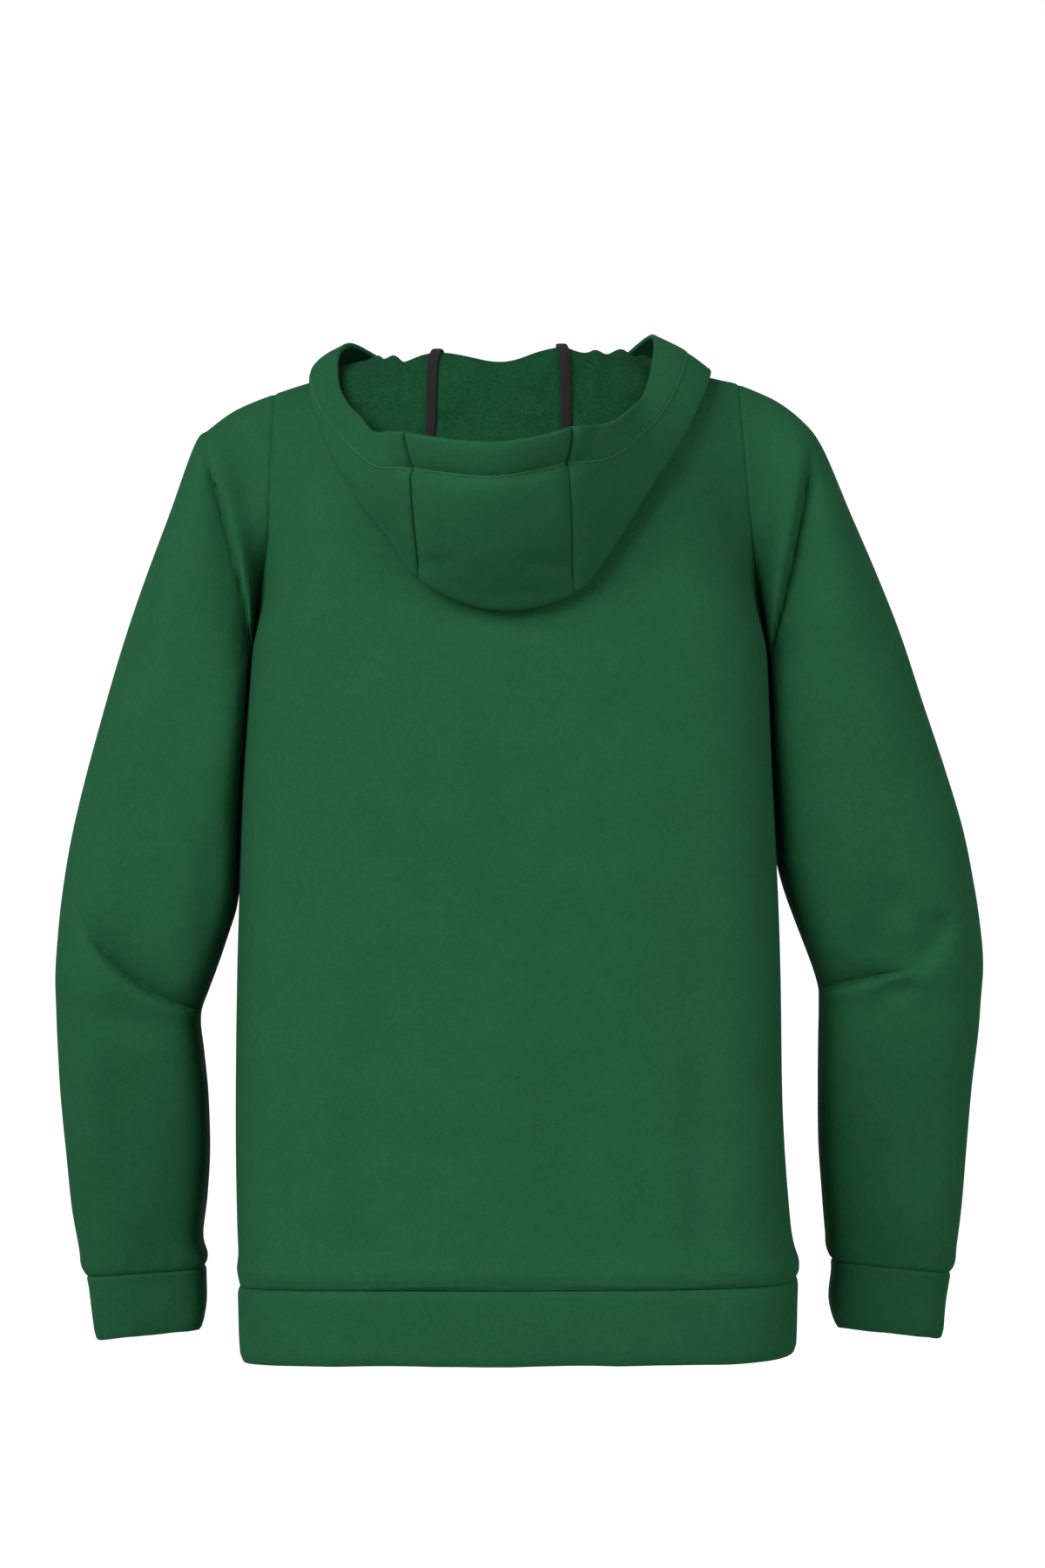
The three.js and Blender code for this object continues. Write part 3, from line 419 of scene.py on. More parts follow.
def normals_of(grid, closed=False):
    """The directions square to a grid, by its neighbours. A tube's rows close on themselves."""
    if closed:
        along = np.roll(grid, -1, axis=1) - np.roll(grid, 1, axis=1)
    else:
        along = np.gradient(grid, axis=1)
    return unit(np.cross(along, np.gradient(grid, axis=0)))


def edge_distance(grid, first_row=False, last_row=False, first_column=False, last_column=False):
    """How far each point of a grid lies from the nearest of the named edges, along the cloth."""
    found = np.full(grid.shape[:2], np.inf)
    for axis, first, last in ((0, first_row, last_row), (1, first_column, last_column)):
        steps = np.linalg.norm(np.diff(grid, axis=axis), axis=-1)
        run = np.concatenate([np.zeros_like(np.take(steps, [0], axis)), np.cumsum(steps, axis)], axis)
        if first:
            found = np.minimum(found, run)
        if last:
            found = np.minimum(found, np.take(run, [-1], axis) - run)
    return found


def cut_places(grid, closed=False):
    """Where each point lies on the flat cloth, in metres, so that the knit follows the piece. A tube has
    one more column, so that the knit doesn't run back across its last quads."""
    if closed:
        grid = np.concatenate([grid, grid[:, :1]], axis=1)
    across = np.linalg.norm(np.diff(grid, axis=1), axis=-1)
    u = np.concatenate([np.zeros((len(grid), 1)), np.cumsum(across, axis=1)], axis=1)
    u -= u[:, -1:] / 2
    along = np.linalg.norm(np.diff(grid, axis=0), axis=-1)
    v = np.concatenate([np.zeros((1, grid.shape[1])), np.cumsum(along, axis=0)], axis=0)
    return np.stack([u, v], axis=-1) * MM


ROLL = np.radians([35, 90, 145])
SMOOTH_ANGLE = 55


def wall(name, outer, inner, places, materials, closed=False, rolled=False):
    """A closed wall of cloth between two grids. A rolled one is rounded over at its last row."""
    rows, columns = outer.shape[:2]
    corners, looks, maps = [], [], []
    vertices = [outer.reshape(-1, 3), inner.reshape(-1, 3)]
    size = rows * columns

    def add(face, spots, look):
        corners.append(face)
        maps.extend(spots)
        looks.append(look)

    last = columns if closed else columns - 1
    wrap = [j % columns for j in range(columns + 1)]
    for i in range(rows - 1):
        low, high = i * columns, (i + 1) * columns
        for j in range(last):
            k, spots = wrap[j + 1], [(i, j), (i, j + 1), (i + 1, j + 1), (i + 1, j)]
            add((low + j, low + k, high + k, high + j), spots, 0)
            under = [size + corner for corner in (low + j, high + j, high + k, low + k)]
            add(tuple(under), spots[:1] + spots[:0:-1], 1)
        if not closed:
            j = columns - 1
            ends = [(i, 0), (i + 1, 0), (i + 1, 0), (i, 0)]
            add((low, high, size + high, size + low), ends, 0)
            ends = [(i, j), (i, j), (i + 1, j), (i + 1, j)]
            add((low + j, size + low + j, size + high + j, high + j), ends, 0)
    for row in (0, rows - 1):
        ladder = [np.arange(columns) + row * columns]
        if rolled and row > 0:
            middle = (outer[row] + inner[row]) / 2
            half = (outer[row] - inner[row]) / 2
            before = (outer[row - 1] + inner[row - 1]) / 2
            away = unit(middle - before) * np.linalg.norm(half, axis=-1)[:, None]
            for k, angle in enumerate(ROLL):
                vertices.append(middle + half * math.cos(angle) + away * math.sin(angle))
                ladder.append(np.arange(columns) + 2 * size + k * columns)
        ladder.append(ladder[0] + size)
        for above, below in zip(ladder, ladder[1:]):
            for j in range(last):
                k, ends = wrap[j + 1], [(row, j), (row, j), (row, j + 1), (row, j + 1)]
                if row == 0:
                    add((above[j], below[j], below[k], above[k]), ends, 0)
                else:
                    add((above[j], above[k], below[k], below[j]), ends[1:] + ends[:1], 0)
    if rolled and not closed:
        for j, order in ((0, 1), (columns - 1, -1)):
            cap = [int(step[j]) for step in ladder][::order]
            add(tuple(cap), [(rows - 1, j)] * len(cap), 0)
    vertices = np.concatenate(vertices) * MM
    triples = np.array([face[:3] for face in corners[: 2 * (rows - 1) * last]])
    a, b, c = (vertices[triples[:, k]] for k in range(3))
    if np.einsum("ij,ij->i", a, np.cross(b, c)).sum() < 0:
        starts = np.cumsum([0] + [len(face) for face in corners])
        maps = [spot for s, e in zip(starts, starts[1:]) for spot in reversed(maps[s:e])]
        corners = [face[::-1] for face in corners]

    mesh = bpy.data.meshes.new(name)
    mesh.from_pydata(vertices.tolist(), [], [tuple(int(v) for v in face) for face in corners])
    layer = mesh.uv_layers.new(name="cut")
    spots = np.array(maps)
    layer.data.foreach_set("uv", places[spots[:, 0], spots[:, 1]].astype(np.float32).ravel())
    for material in materials:
        mesh.materials.append(material)
    mesh.polygons.foreach_set("material_index", np.array(looks, np.int32))
    mesh.update()
    piece = bpy.data.objects.new(name, mesh)
    bpy.context.scene.collection.objects.link(piece)
    smooth_over(piece)
    return piece


def smooth_over(piece):
    """Smooth shading everywhere but at cut edges."""
    bpy.ops.object.select_all(action="DESELECT")
    piece.select_set(True)
    bpy.context.view_layer.objects.active = piece
    bpy.ops.object.shade_smooth_by_angle(angle=math.radians(SMOOTH_ANGLE))
    piece.select_set(False)


def dress(piece, node, slot, **cut):
    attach(piece, "root")
    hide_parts(node)


# Materials

DEEP_GREEN = (0.0112, 0.0700, 0.0280)
LIGHT_GREEN = (0.0164, 0.0920, 0.0395)
INSIDE_DARK = (0.0048, 0.0380, 0.0150)
INSIDE_LIGHT = (0.0098, 0.0640, 0.0265)
THREAD_GREEN = (0.0330, 0.1650, 0.0780)
CHARCOAL = (0.0090, 0.0080, 0.0088)
CHARCOAL_LIGHT = (0.0290, 0.0260, 0.0275)
WALE = 1.15 * MM  # width of one column of knit loops
COURSE = 0.95 * MM  # height of one row of them
RIB_PITCH = 1.9 * MM  # of the tape's ribs, along it
RIB_LEAN = 1.2  # how far they lean, to one step across
CORD_PITCH = 1.6 * MM
NAP_TINT = (0.3, 0.8, 0.45)
THREAD_PAINTED_SHADE = 0.75  # share of the thread's colour in its hollows: painted shade


def add_node(tree, kind, inputs=None, output=0, **settings):
    """Adds a shader node, with a value or a link for each of its inputs, and gives one of its outputs."""
    node = tree.nodes.new("ShaderNode" + kind)
    for name, value in settings.items():
        setattr(node, name, value)
    for name, value in (inputs or {}).items():
        if isinstance(value, bpy.types.NodeSocket):
            tree.links.new(value, node.inputs[name])
        else:
            node.inputs[name].default_value = value
    return node.outputs[output]


class Look:
    """A material under construction: its nodes and the links between them."""

    def __init__(self, name, roughness, specular, sheen=0.0, sheen_tint=(1, 1, 1)):
        self.material = bpy.data.materials.new(name)
        self.material.use_nodes = True
        self.tree = self.material.node_tree
        self.shader = self.tree.nodes["Principled BSDF"]
        self.shader.inputs["Roughness"].default_value = roughness
        self.shader.inputs["Specular IOR Level"].default_value = specular
        self.shader.inputs["Sheen Weight"].default_value = sheen
        self.shader.inputs["Sheen Roughness"].default_value = 0.45
        self.shader.inputs["Sheen Tint"].default_value = (*sheen_tint, 1)

    def add(self, *args, **settings):
        return add_node(self.tree, *args, **settings)

    def maths(self, operation, first, second=0.0):
        return self.add("Math", {0: first, 1: second}, operation=operation)

    def blend(self, *parts):
        """The sum of values, each times its weight."""
        total = 0.0
        for value, weight in parts:
            total = self.add("Math", {0: value, 1: weight, 2: total}, operation="MULTIPLY_ADD")
        return total

    def place(self):
        """Object coordinates."""
        return self.add("TexCoord", output="Object")

    def cut(self):
        """Across and along the cut cloth, in metres."""
        where = self.add("UVMap", uv_map="cut")
        return [self.add("SeparateXYZ", {0: where}, output=axis) for axis in ("X", "Y")]

    def wave(self, value, length):
        return self.maths("SINE", self.maths("MULTIPLY", value, 2 * math.pi / length))

    def grain(self, scale, detail, rough):
        inputs = {"Vector": self.place(), "Scale": scale, "Detail": detail, "Roughness": rough}
        return self.add("TexNoise", inputs)

    def between(self, factor, low, high, from_min=0.3, from_max=0.7):
        share = self.add("MapRange", {0: factor, 1: from_min, 2: from_max, 3: 0.0, 4: 1.0})
        return self.add(
            "Mix", {0: share, 6: (*low, 1), 7: (*high, 1)}, output=2, data_type="RGBA", clamp_factor=True
        )

    def finish(self, colour, height, strength, depth):
        self.tree.links.new(colour, self.shader.inputs["Base Color"])
        bump = self.add("Bump", {"Strength": strength, "Distance": depth, "Height": height})
        self.tree.links.new(bump, self.shader.inputs["Normal"])
        return self.material


def fleece_face():
    """The smooth knitted face: rows of small loops under a light nap, dyed with a little unevenness."""
    look = Look("fleece_face", roughness=0.95, specular=0.02, sheen=0.03, sheen_tint=NAP_TINT)
    across, along = look.cut()
    loops = look.maths("MULTIPLY", look.wave(across, WALE), look.wave(along, COURSE))
    speckle = look.grain(1500, 2.0, 0.7)
    mottle = look.grain(26, 4.0, 0.62)
    slub = look.grain(260, 3.0, 0.6)
    height = look.blend((loops, 0.22), (speckle, 1), (slub, 0.5))
    tone = look.blend((speckle, 0.5), (mottle, 0.22), (slub, 0.28), (loops, 0.02))
    colour = look.between(tone, DEEP_GREEN, LIGHT_GREEN, 0.36, 0.64)
    return look.finish(colour, height, 0.34, 0.35 * MM)


def fleece_back():
    """The brushed inside: a short, clumped nap, with painted shade in its hollows."""
    look = Look("fleece_back", roughness=0.95, specular=0.02, sheen=0.03, sheen_tint=NAP_TINT)
    clump = look.grain(420, 4.0, 0.65)
    fibre = look.grain(1800, 2.0, 0.7)
    drift = look.grain(60, 3.0, 0.55)
    height = look.blend((clump, 1), (fibre, 0.4))
    # The colour follows the clumps and fibres of the bump, darker where the nap lies low: painted shade. The drift
    # is the cloth's own uneven tone.
    tone = look.blend((clump, 0.55), (fibre, 0.25), (drift, 0.2))
    colour = look.between(tone, INSIDE_DARK, INSIDE_LIGHT, 0.38, 0.62)
    return look.finish(colour, height, 0.55, 0.8 * MM)


def herringbone_tape():
    """Charcoal woven tape: short ribs that lean to each side of its middle."""
    look = Look("herringbone_tape", roughness=0.85, specular=0.1, sheen=0.03)
    across, along = look.cut()
    lean = look.maths("ABSOLUTE", across)
    ribs = look.wave(look.blend((along, 1), (lean, RIB_LEAN)), RIB_PITCH)
    cords = look.wave(across, CORD_PITCH)
    fuzz = look.grain(1600, 2.0, 0.7)
    height = look.blend((ribs, 1), (cords, 0.35), (fuzz, 1))
    tone = look.blend((ribs, 0.3), (fuzz, 1))
    colour = look.between(tone, CHARCOAL, CHARCOAL_LIGHT, 0.25, 0.95)
    return look.finish(colour, height, 0.6, 0.4 * MM)


def sewing_thread():
    """Green polyester thread, a little lighter than the cloth, with its twist, and painted shade in its hollows.
    """
    look = Look("sewing_thread", roughness=0.55, specular=0.4, sheen=0.1)
    fuzz = look.grain(2600, 2.0, 0.6)
    # The fuzz darkens the colour where it lowers the bump: painted shade in the thread's hollows.
    colour = look.between(fuzz, tuple(THREAD_PAINTED_SHADE * c for c in THREAD_GREEN), THREAD_GREEN)
    return look.finish(colour, fuzz, 0.4, 0.1 * MM)


FACE, BACK, TAPE, THREAD = fleece_face(), fleece_back(), herringbone_tape(), sewing_thread()
FLEECE = (FACE, BACK)


# Body

def seam_dip(distance, dip=SEAM_DIP):
    return dip * bell(distance, SEAM_REACH)


BODY_UP = np.concatenate([spaced(BODY_ROWS, high=False), 1 + spaced(YOKE_ROWS, low=False)[1:]])


def body_grid(face):
    """A panel's outer face, with the directions that its folds and thickness are measured along."""
    across = 2 * spaced(BODY_COLUMNS) - 1
    grid = body_points(face, *np.meshgrid(across, BODY_UP))
    normals = normals_of(grid)
    middle = normals[0, BODY_COLUMNS // 2]
    if middle[1] * FACES[face]["sign"] < 0:
        normals = -normals
    at_seam = np.abs(grid[..., 1]) < SEAM_GAP
    normals[at_seam] = unit(normals[at_seam] * (1, 0, 1))
    return grid, normals


def body_relief(face, grid):
    """How far the cloth of a panel lies in from its even shape: folds, seams and a soft unevenness."""
    x, z = grid[..., 0], grid[..., 2]
    across = np.abs(2 * spaced(BODY_COLUMNS) - 1)
    folds = fold_depth(BODY_FOLDS, face, x, z) * smooth((1 - across) * SIDE_FADE)
    from_hem = edge_distance(grid, first_row=True)
    from_sides = edge_distance(grid, first_column=True, last_column=True)
    from_neck = edge_distance(grid, last_row=True)
    away = smooth(from_sides / 30) * smooth(from_neck / 40)
    blouse = -1.6 * bell(from_hem - 11, 8)
    drape = waver("body_drape", grid) * away
    puckers = waver("body_puckers", grid) * bell(from_sides - 5, 7) * (z > UNDERARM)
    ruckles = waver("body_ruckles", grid) * bell(from_hem - 6, 12)
    seams = seam_dip(np.minimum(from_sides, from_hem)) + seam_dip(from_neck, 0.5)
    return folds + blouse + (drape + puckers + ruckles) * smooth(from_hem / 4) + seams


BODY_GRIDS = {face: body_grid(face) for face in FACES}
BODY_OUTER = {
    face: grid - normals * body_relief(face, grid)[..., None] for face, (grid, normals) in BODY_GRIDS.items()
}


def body_panel(face, **cut):
    grid, normals = BODY_GRIDS[face]
    outer = BODY_OUTER[face]
    piece = wall(f"{face}_of_body", outer, outer - normals * CLOTH, cut_places(grid), FLEECE)
    dress(piece, f"{face}_panel", "fleece", **cut)


# Sleeves and cuffs

def ring_points(ring, around):
    """Points round a ring, from its outer point by the back to its inner point and by the front."""
    fourth = np.floor(around * 4).astype(int) % 4
    turn = around * 4 - np.floor(around * 4)
    outer_half = (fourth == 0) | (fourth == 3)
    roundness = np.where(outer_half, SLEEVE_ROUNDNESS["outer"], SLEEVE_ROUNDNESS["inner"])
    up, out = quarter(np.where(fourth % 2 == 1, turn, 1 - turn), roundness)
    toward = (1 + np.where(outer_half, up, -up)) / 2
    depth = np.where(fourth < 2, -out, out)
    x = mix(ring["inner_x"], ring["outer_x"], toward)
    z = mix(ring["inner_z"], ring["outer_z"], toward)
    return points_of(x, ring["mid"] + ring["half"] * depth, z)


def rings_through(rows, at):
    """The rows of a sleeve or cuff at places between them, as columns to spread round a ring."""
    return {name: read(rows, "at", name, at)[:, None] for name in rows}


AROUND = np.arange(RING_COLUMNS) / RING_COLUMNS
# A ring's places at the back and at the front, as places up the edges of the body's panels.
EDGE_RUNS = (("back", 2 - 2 * AROUND[AROUND < 0.5]), ("front", 2 * AROUND[AROUND >= 0.5]))
NEAR_EDGE = 0.985  # across the panel
NUDGE = 0.01  # up the panel


def armhole(side):
    """The armhole's points, off the body panels' edges by a gap: outwards, and aside at the underarm."""
    points = []
    for face, up in EDGE_RUNS:
        edge = body_points(face, np.full_like(up, side), up)
        beside = body_points(face, np.full_like(up, side * NEAR_EDGE), up)
        above = body_points(face, np.full_like(up, side), np.minimum(2, up + NUDGE))
        below = body_points(face, np.full_like(up, side), up - NUDGE)
        normal = unit(np.cross(above - below, edge - beside))
        normal[np.abs(edge[:, 1]) < SEAM_GAP] *= (1, 0, 1)
        away = unit(np.cross(unit(above - below), normal))
        away *= np.where(away[:, :1] * side < 0, -1, 1)
        aside = unit(np.array([side, 0, 1.0]))
        high = smooth((edge[:, 2:] - UNDERARM) / UNDERARM_TURN)
        points.append(edge + unit(mix(aside, away, high)) * STITCHED_GAP)
    points = np.concatenate(points)
    points[[0, RING_COLUMNS // 2], 1] = 0
    return points


def body_edge(side):
    """At each of the armhole's points: how far the body's edge has moved from its even shape, and where the
    sleeve's seam allowance lies under it, at the seam and at the allowance's own edge."""
    column = 0 if side < 0 else -1
    found = []
    for face, up in EDGE_RUNS:
        grid, normals = BODY_GRIDS[face]
        outer = BODY_OUTER[face]
        run = np.linalg.norm(outer - outer[:, [column]], axis=-1)
        beside = (run < ALLOWANCE).sum(axis=1)
        beside = beside if side < 0 else outer.shape[1] - 1 - beside
        rows = np.arange(len(outer))
        depth = CLOTH + ALLOWANCE_GAP
        parts = (
            outer[:, column] - grid[:, column],
            outer[:, column] - normals[:, column] * depth,
            outer[rows, beside] - normals[rows, beside] * depth,
            normals[:, column],
        )
        found.append([along_line(up, BODY_UP, part) for part in parts])
    return [np.concatenate(pair) for pair in zip(*found)]


def outward(grid):
    normals = normals_of(grid, closed=True)
    middle = grid.mean(axis=1, keepdims=True)
    return normals if np.sum(normals * (grid - middle)) > 0 else -normals


def sleeve(name, side, **cut):
    rows = SLEEVES[name]
    at = gathered(SLEEVE_RINGS, len(rows["at"]) - 1, RING_PEAKS)
    rings = rings_through(rows, at)
    first = ring_points(rings_through(rows, np.zeros(1)), AROUND)
    hold = (1 - smooth(rings["at"] / ARMHOLE_FADE))[..., None]
    grid = ring_points(rings, AROUND) + (armhole(side) - first) * hold
    normals = outward(grid)

    from_armhole, from_cuff = edge_distance(grid, first_row=True), edge_distance(grid, last_row=True)
    from_mid = grid[..., 1] - rings["mid"]
    facing = smooth(np.abs(from_mid) / rings["half"] * FACING_FADE) * smooth(from_armhole / 14)
    pressed = grid.copy()
    for face, sign in (("back", 1), ("front", -1)):
        there = (from_mid < 0) == (face == "back")
        press = fold_depth(SLEEVE_FOLDS, face, grid[..., 0], grid[..., 2]) * facing
        pressed[..., 1] += np.where(there, sign * press, 0)
    drape = waver("sleeve_drape", grid, side) * smooth(from_armhole / 60) * smooth(from_cuff / 30)
    puckers = waver("sleeve_puckers", grid, side) * bell(from_armhole - 5, 7)
    ruckles = waver("sleeve_ruckles", grid, side) * bell(from_cuff - 7, 11) * smooth(from_cuff / 4)
    relief = drape + puckers * smooth(from_armhole / 4) + ruckles + seam_dip(from_cuff)
    moved, root, tip, body_out = body_edge(side)
    outer = pressed - normals * relief[..., None] + moved * bell(from_armhole, SEAM_REACH)[..., None]
    body_side = read(BODY, "z", name, outer[..., 2]) + SLEEVE_CLEARANCE
    clear = side * np.maximum(side * outer[..., 0], body_side)
    outer[..., 0] = np.where(outer[..., 2] < UNDERARM, clear, outer[..., 0])
    inner = outer - normals * CLOTH
    root = root + unit(outer[0] - root) * STITCHED_GAP
    outer = np.concatenate([[tip, root], outer])
    inner = np.concatenate([[tip - body_out * ALLOWANCE_THICK, root - body_out * ALLOWANCE_THICK], inner])
    places = cut_places(outer, closed=True)
    piece = wall(f"{name}_sleeve", outer, inner, places, FLEECE, closed=True)
    dress(piece, f"sleeve_{name}", "fleece", **cut)


def band(name, node, grid, outer, normals, **cut):
    """A ring of doubled cloth, rolled over at its free edge."""
    places = cut_places(grid, closed=True)
    piece = wall(name, outer, outer - normals * BAND, places, (FACE, FACE), closed=True, rolled=True)
    dress(piece, node, "fleece", **cut)


def cuff(name, side, **cut):
    rows = CUFFS[name]
    at = spaced(BAND_ROWS, high=False) * (len(rows["at"]) - 1)
    grid = ring_points(rings_through(rows, at), AROUND)
    normals = outward(grid)
    from_seam, from_edge = edge_distance(grid, first_row=True), edge_distance(grid, last_row=True)
    drape = waver("cuff_drape", grid, side) * smooth(from_seam / 12)
    relief = drape + seam_dip(from_seam, 1.0) + 0.8 * bell(from_edge, 3)
    outer = grid - normals * relief[..., None]
    outer[..., 2] += waver("cuff_edge", grid, side) * smooth(from_seam / 20)
    band(f"{name}_cuff", f"cuff_{name}", grid, outer, normals, **cut)


def hem_band(**cut):
    """Goes round under the two body panels' lowest rows."""
    loop, out = [], []
    for face, part in (("back", slice(None)), ("front", slice(-2, 0, -1))):
        grid, normals = BODY_GRIDS[face]
        loop.append(grid[0, part])
        out.append(unit(normals[0, part] * (1, 1, 0)))
    loop, out = np.concatenate(loop), np.concatenate(out)
    loop[np.abs(loop[:, 1]) < SEAM_GAP, 1] = 0
    drop = spaced(BAND_ROWS, high=False)[:, None, None]
    stand = read(HEM_ROWS, "drop", "out", drop)
    grid = loop + out * stand
    grid[..., 2] -= SEAM_GAP + drop[..., 0] * (HEM_HEIGHT - BAND / 2)
    normals = outward(grid)
    from_seam = edge_distance(grid, first_row=True)
    drape = waver("hem_drape", grid) * smooth(from_seam / 20)
    outer = grid - normals * (drape + seam_dip(from_seam, 1.0))[..., None]
    outer[..., 2] += waver("hem_edge", grid) * smooth(from_seam / 30)
    band("band_at_hem", "hem_band", grid, outer, normals, **cut)


# Hood

def spline(points, t):
    """Points at shares of the way along a centripetal curve through a row of points."""
    points = np.asarray(points, float)
    first, last = 2 * points[0] - points[1], 2 * points[-1] - points[-2]
    line = np.concatenate([[first], points, [last]])
    steps = np.maximum(np.linalg.norm(np.diff(line, axis=0), axis=1) ** 0.5, 1e-4)
    at = np.clip(np.asarray(t, float), 0, 1) * (len(points) - 1)
    i = np.minimum(at.astype(int), len(points) - 2)
    f = (at - i)[:, None]
    d0, d1, d2 = (steps[i + k][:, None] for k in range(3))
    p0, p1, p2, p3 = (line[i + k] for k in range(4))
    m1 = ((p1 - p0) / d0 - (p2 - p0) / (d0 + d1) + (p2 - p1) / d1) * d1
    m2 = ((p2 - p1) / d1 - (p3 - p1) / (d1 + d2) + (p3 - p2) / d2) * d1
    share = 3 * f**2 - 2 * f**3
    return p1 * (1 - share) + m1 * (f**3 - 2 * f**2 + f) + p2 * share + m2 * (f**3 - f**2)


def upper_body():
    """The body's outer faces above the underarms, to measure the hood's distance from."""
    vertices, faces = [], []
    for face, (grid, _) in BODY_GRIDS.items():
        part = grid[BODY_ROWS:]
        start, (rows, columns) = len(vertices), part.shape[:2]
        vertices.extend(part.reshape(-1, 3).tolist())
        for i in range(rows - 1):
            for j in range(columns - 1):
                a = start + i * columns + j
                quad = (a, a + 1, a + columns + 1, a + columns)
                faces.append(quad if face == "back" else quad[::-1])
    return BVHTree.FromPolygons(vertices, faces)


UPPER_BODY = upper_body()


def lift_clear(points, distance):
    """Moves points out to at least a distance from the upper body."""
    lifted = points.reshape(-1, 3).copy()
    wanted = np.broadcast_to(distance, points.shape[:-1]).ravel()
    for k, p in enumerate(lifted):
        foot, out, _, _ = UPPER_BODY.find_nearest(Vector(p))
        height = (Vector(p) - foot).dot(out)
        if height < wanted[k]:
            lifted[k] = p + np.array(out) * (wanted[k] - height)
    return lifted.reshape(points.shape)


def neck_point(at):
    """A place on the neck seam, from the centre front (-1) by the left to the centre back (0) and on."""
    back = abs(at) <= 0.5
    across = math.copysign(abs(at) if back else 1 - abs(at), at)
    p = body_points("back" if back else "front", np.array(across), np.array(2.0))
    inward = unit(-p * (1, 1, 0))
    return p + inward * SEAM_GAP + (0, 0, SEAM_GAP)


def strip_points(k):
    """The points that a strip's curve goes through, from the neck seam to the face edge."""
    crest, fold, rim = (HOOD[name][k].astype(float) for name in ("crest", "fold", "rim"))
    away = unit((fold - crest) * (1, 1, 0))
    turn = crest + away * CREST_WIDTH
    turn[2] = crest[2] - CREST_FALL
    inner = lift_clear(np.array([turn] + [mix(crest, fold, share) for share in INNER_LAYER]), HOOD_REST)
    outer = [mix(fold, rim, share) + away * HOOD["belly"][k] * fullness for share, fullness in OUTER_LAYER]
    return np.array([neck_point(HOOD["neck"][k]), crest, *inner, fold, *outer, rim])


# The grid's lines at the turned hem, by their distance from the face edge.
HEM_LINES = np.array(
    [27, 26, 25.4, 25, 24.6, 24.2, 23.8, 23.4, 23, 22.5, 21.5, 19, 16, 13, 10, 7, 4.5, 2.5, 1.2, 0]
)
STITCH_ROW = HOOD_ROWS + int(np.argmin(np.abs(HEM_LINES - STITCH_LINE)))


def strip_rows(points):
    """Even steps from the neck seam to the turned hem, and then steps at fixed distances from the edge."""
    t = np.linspace(0, 1, 1601)
    curve = spline(points, t)
    run = np.concatenate([[0], np.cumsum(np.linalg.norm(np.diff(curve, axis=0), axis=1))])
    hem = np.interp(run[-1] - HEM_LINES, run, t)
    steps = np.concatenate([hem[0] * np.arange(HOOD_ROWS) / HOOD_ROWS, hem])
    return spline(points, steps)


def hood_places():
    left = HOOD_SEAMS["left"] * spaced(HOOD_SIDE_COLUMNS, low=False)
    centre = mix(HOOD_SEAMS["left"], HOOD_SEAMS["right"], spaced(HOOD_CENTRE_COLUMNS))
    right = mix(HOOD_SEAMS["right"], HOOD_LAST, spaced(HOOD_SIDE_COLUMNS, high=False))
    return np.concatenate([left, centre[1:-1], right])


PLACES = hood_places()
LEFT_SEAM = HOOD_SIDE_COLUMNS
RIGHT_SEAM = HOOD_SIDE_COLUMNS + HOOD_CENTRE_COLUMNS


def hood_grid():
    """The hood's outer face: rows from the neck seam to the face edge, across from the left front edge."""
    strips = np.array([strip_rows(strip_points(k)) for k in range(HOOD_LAST + 1)])
    grid = np.array([spline(strips[:, i], PLACES / HOOD_LAST) for i in range(strips.shape[1])])
    seam = {"at": np.arange(HOOD_LAST + 1.0), "neck": HOOD["neck"]}
    grid[0] = [neck_point(float(at)) for at in read(seam, "at", "neck", PLACES)]
    along = np.arange(1, len(grid))[:, None]
    grid[1:] = lift_clear(grid[1:], np.minimum(HOOD_REST, 0.7 * along) * np.ones_like(PLACES))
    grid[:, 0, 0] = np.minimum(grid[:, 0, 0], -FRONT_GAP)
    grid[:, -1, 0] = np.maximum(grid[:, -1, 0], FRONT_GAP)
    return grid


# Small waves of the hood's edge and crest, by their place across the hood: how far up the cloth is lifted.
RIM_WAVES = table(
    "place lift",
    (0, 0), (3, 1), (4.5, -1), (5.5, 1), (6.3, 2.5), (6.9, -1.5), (7.5, 1.0), (8.0, 1.5), (8.4, 0.5),
    (9.0, -0.5), (9.6, 0.5), (10.0, 2.0), (10.6, -0.5), (11.4, 1.0), (12.4, -1.5), (13.5, 1.0), (15, 0), (18, 0),
)
CREST_WAVES = table(
    "place lift",
    (0, 0), (4, 1.5), (5.2, -1), (5.9, 1.5), (6.6, -2.0), (7.3, 0.5), (8.0, 2.0), (8.5, 1.5), (9.1, -1.5),
    (9.6, 1.5), (10.1, 1.5), (10.5, -2.5), (10.9, 1.5), (11.3, -1.0), (12.2, 2.5), (13.2, -2.0), (14, 0), (18, 0),
)
# Creases of the hood: place across and share of the way up from the neck at each end, depth and width.
HOOD_CREASES = table(
    "place0 along0 place1 along1 depth width",
    (5.7, 0.10, 6.9, 0.34, 3.2, 5),
    (6.5, 0.10, 6.8, 0.25, -1.6, 7),
    (12.4, 0.12, 11.4, 0.30, 2.2, 7),
    (11.0, 0.10, 10.8, 0.28, 1.6, 6),
    (8.25, 0.84, 8.75, 0.80, 1.4, 7),
    (9.75, 0.83, 9.3, 0.79, 1.4, 7),
    (9.95, 0.62, 9.45, 0.66, 1.8, 6),
    (8.05, 0.60, 8.5, 0.65, 1.5, 6),
)


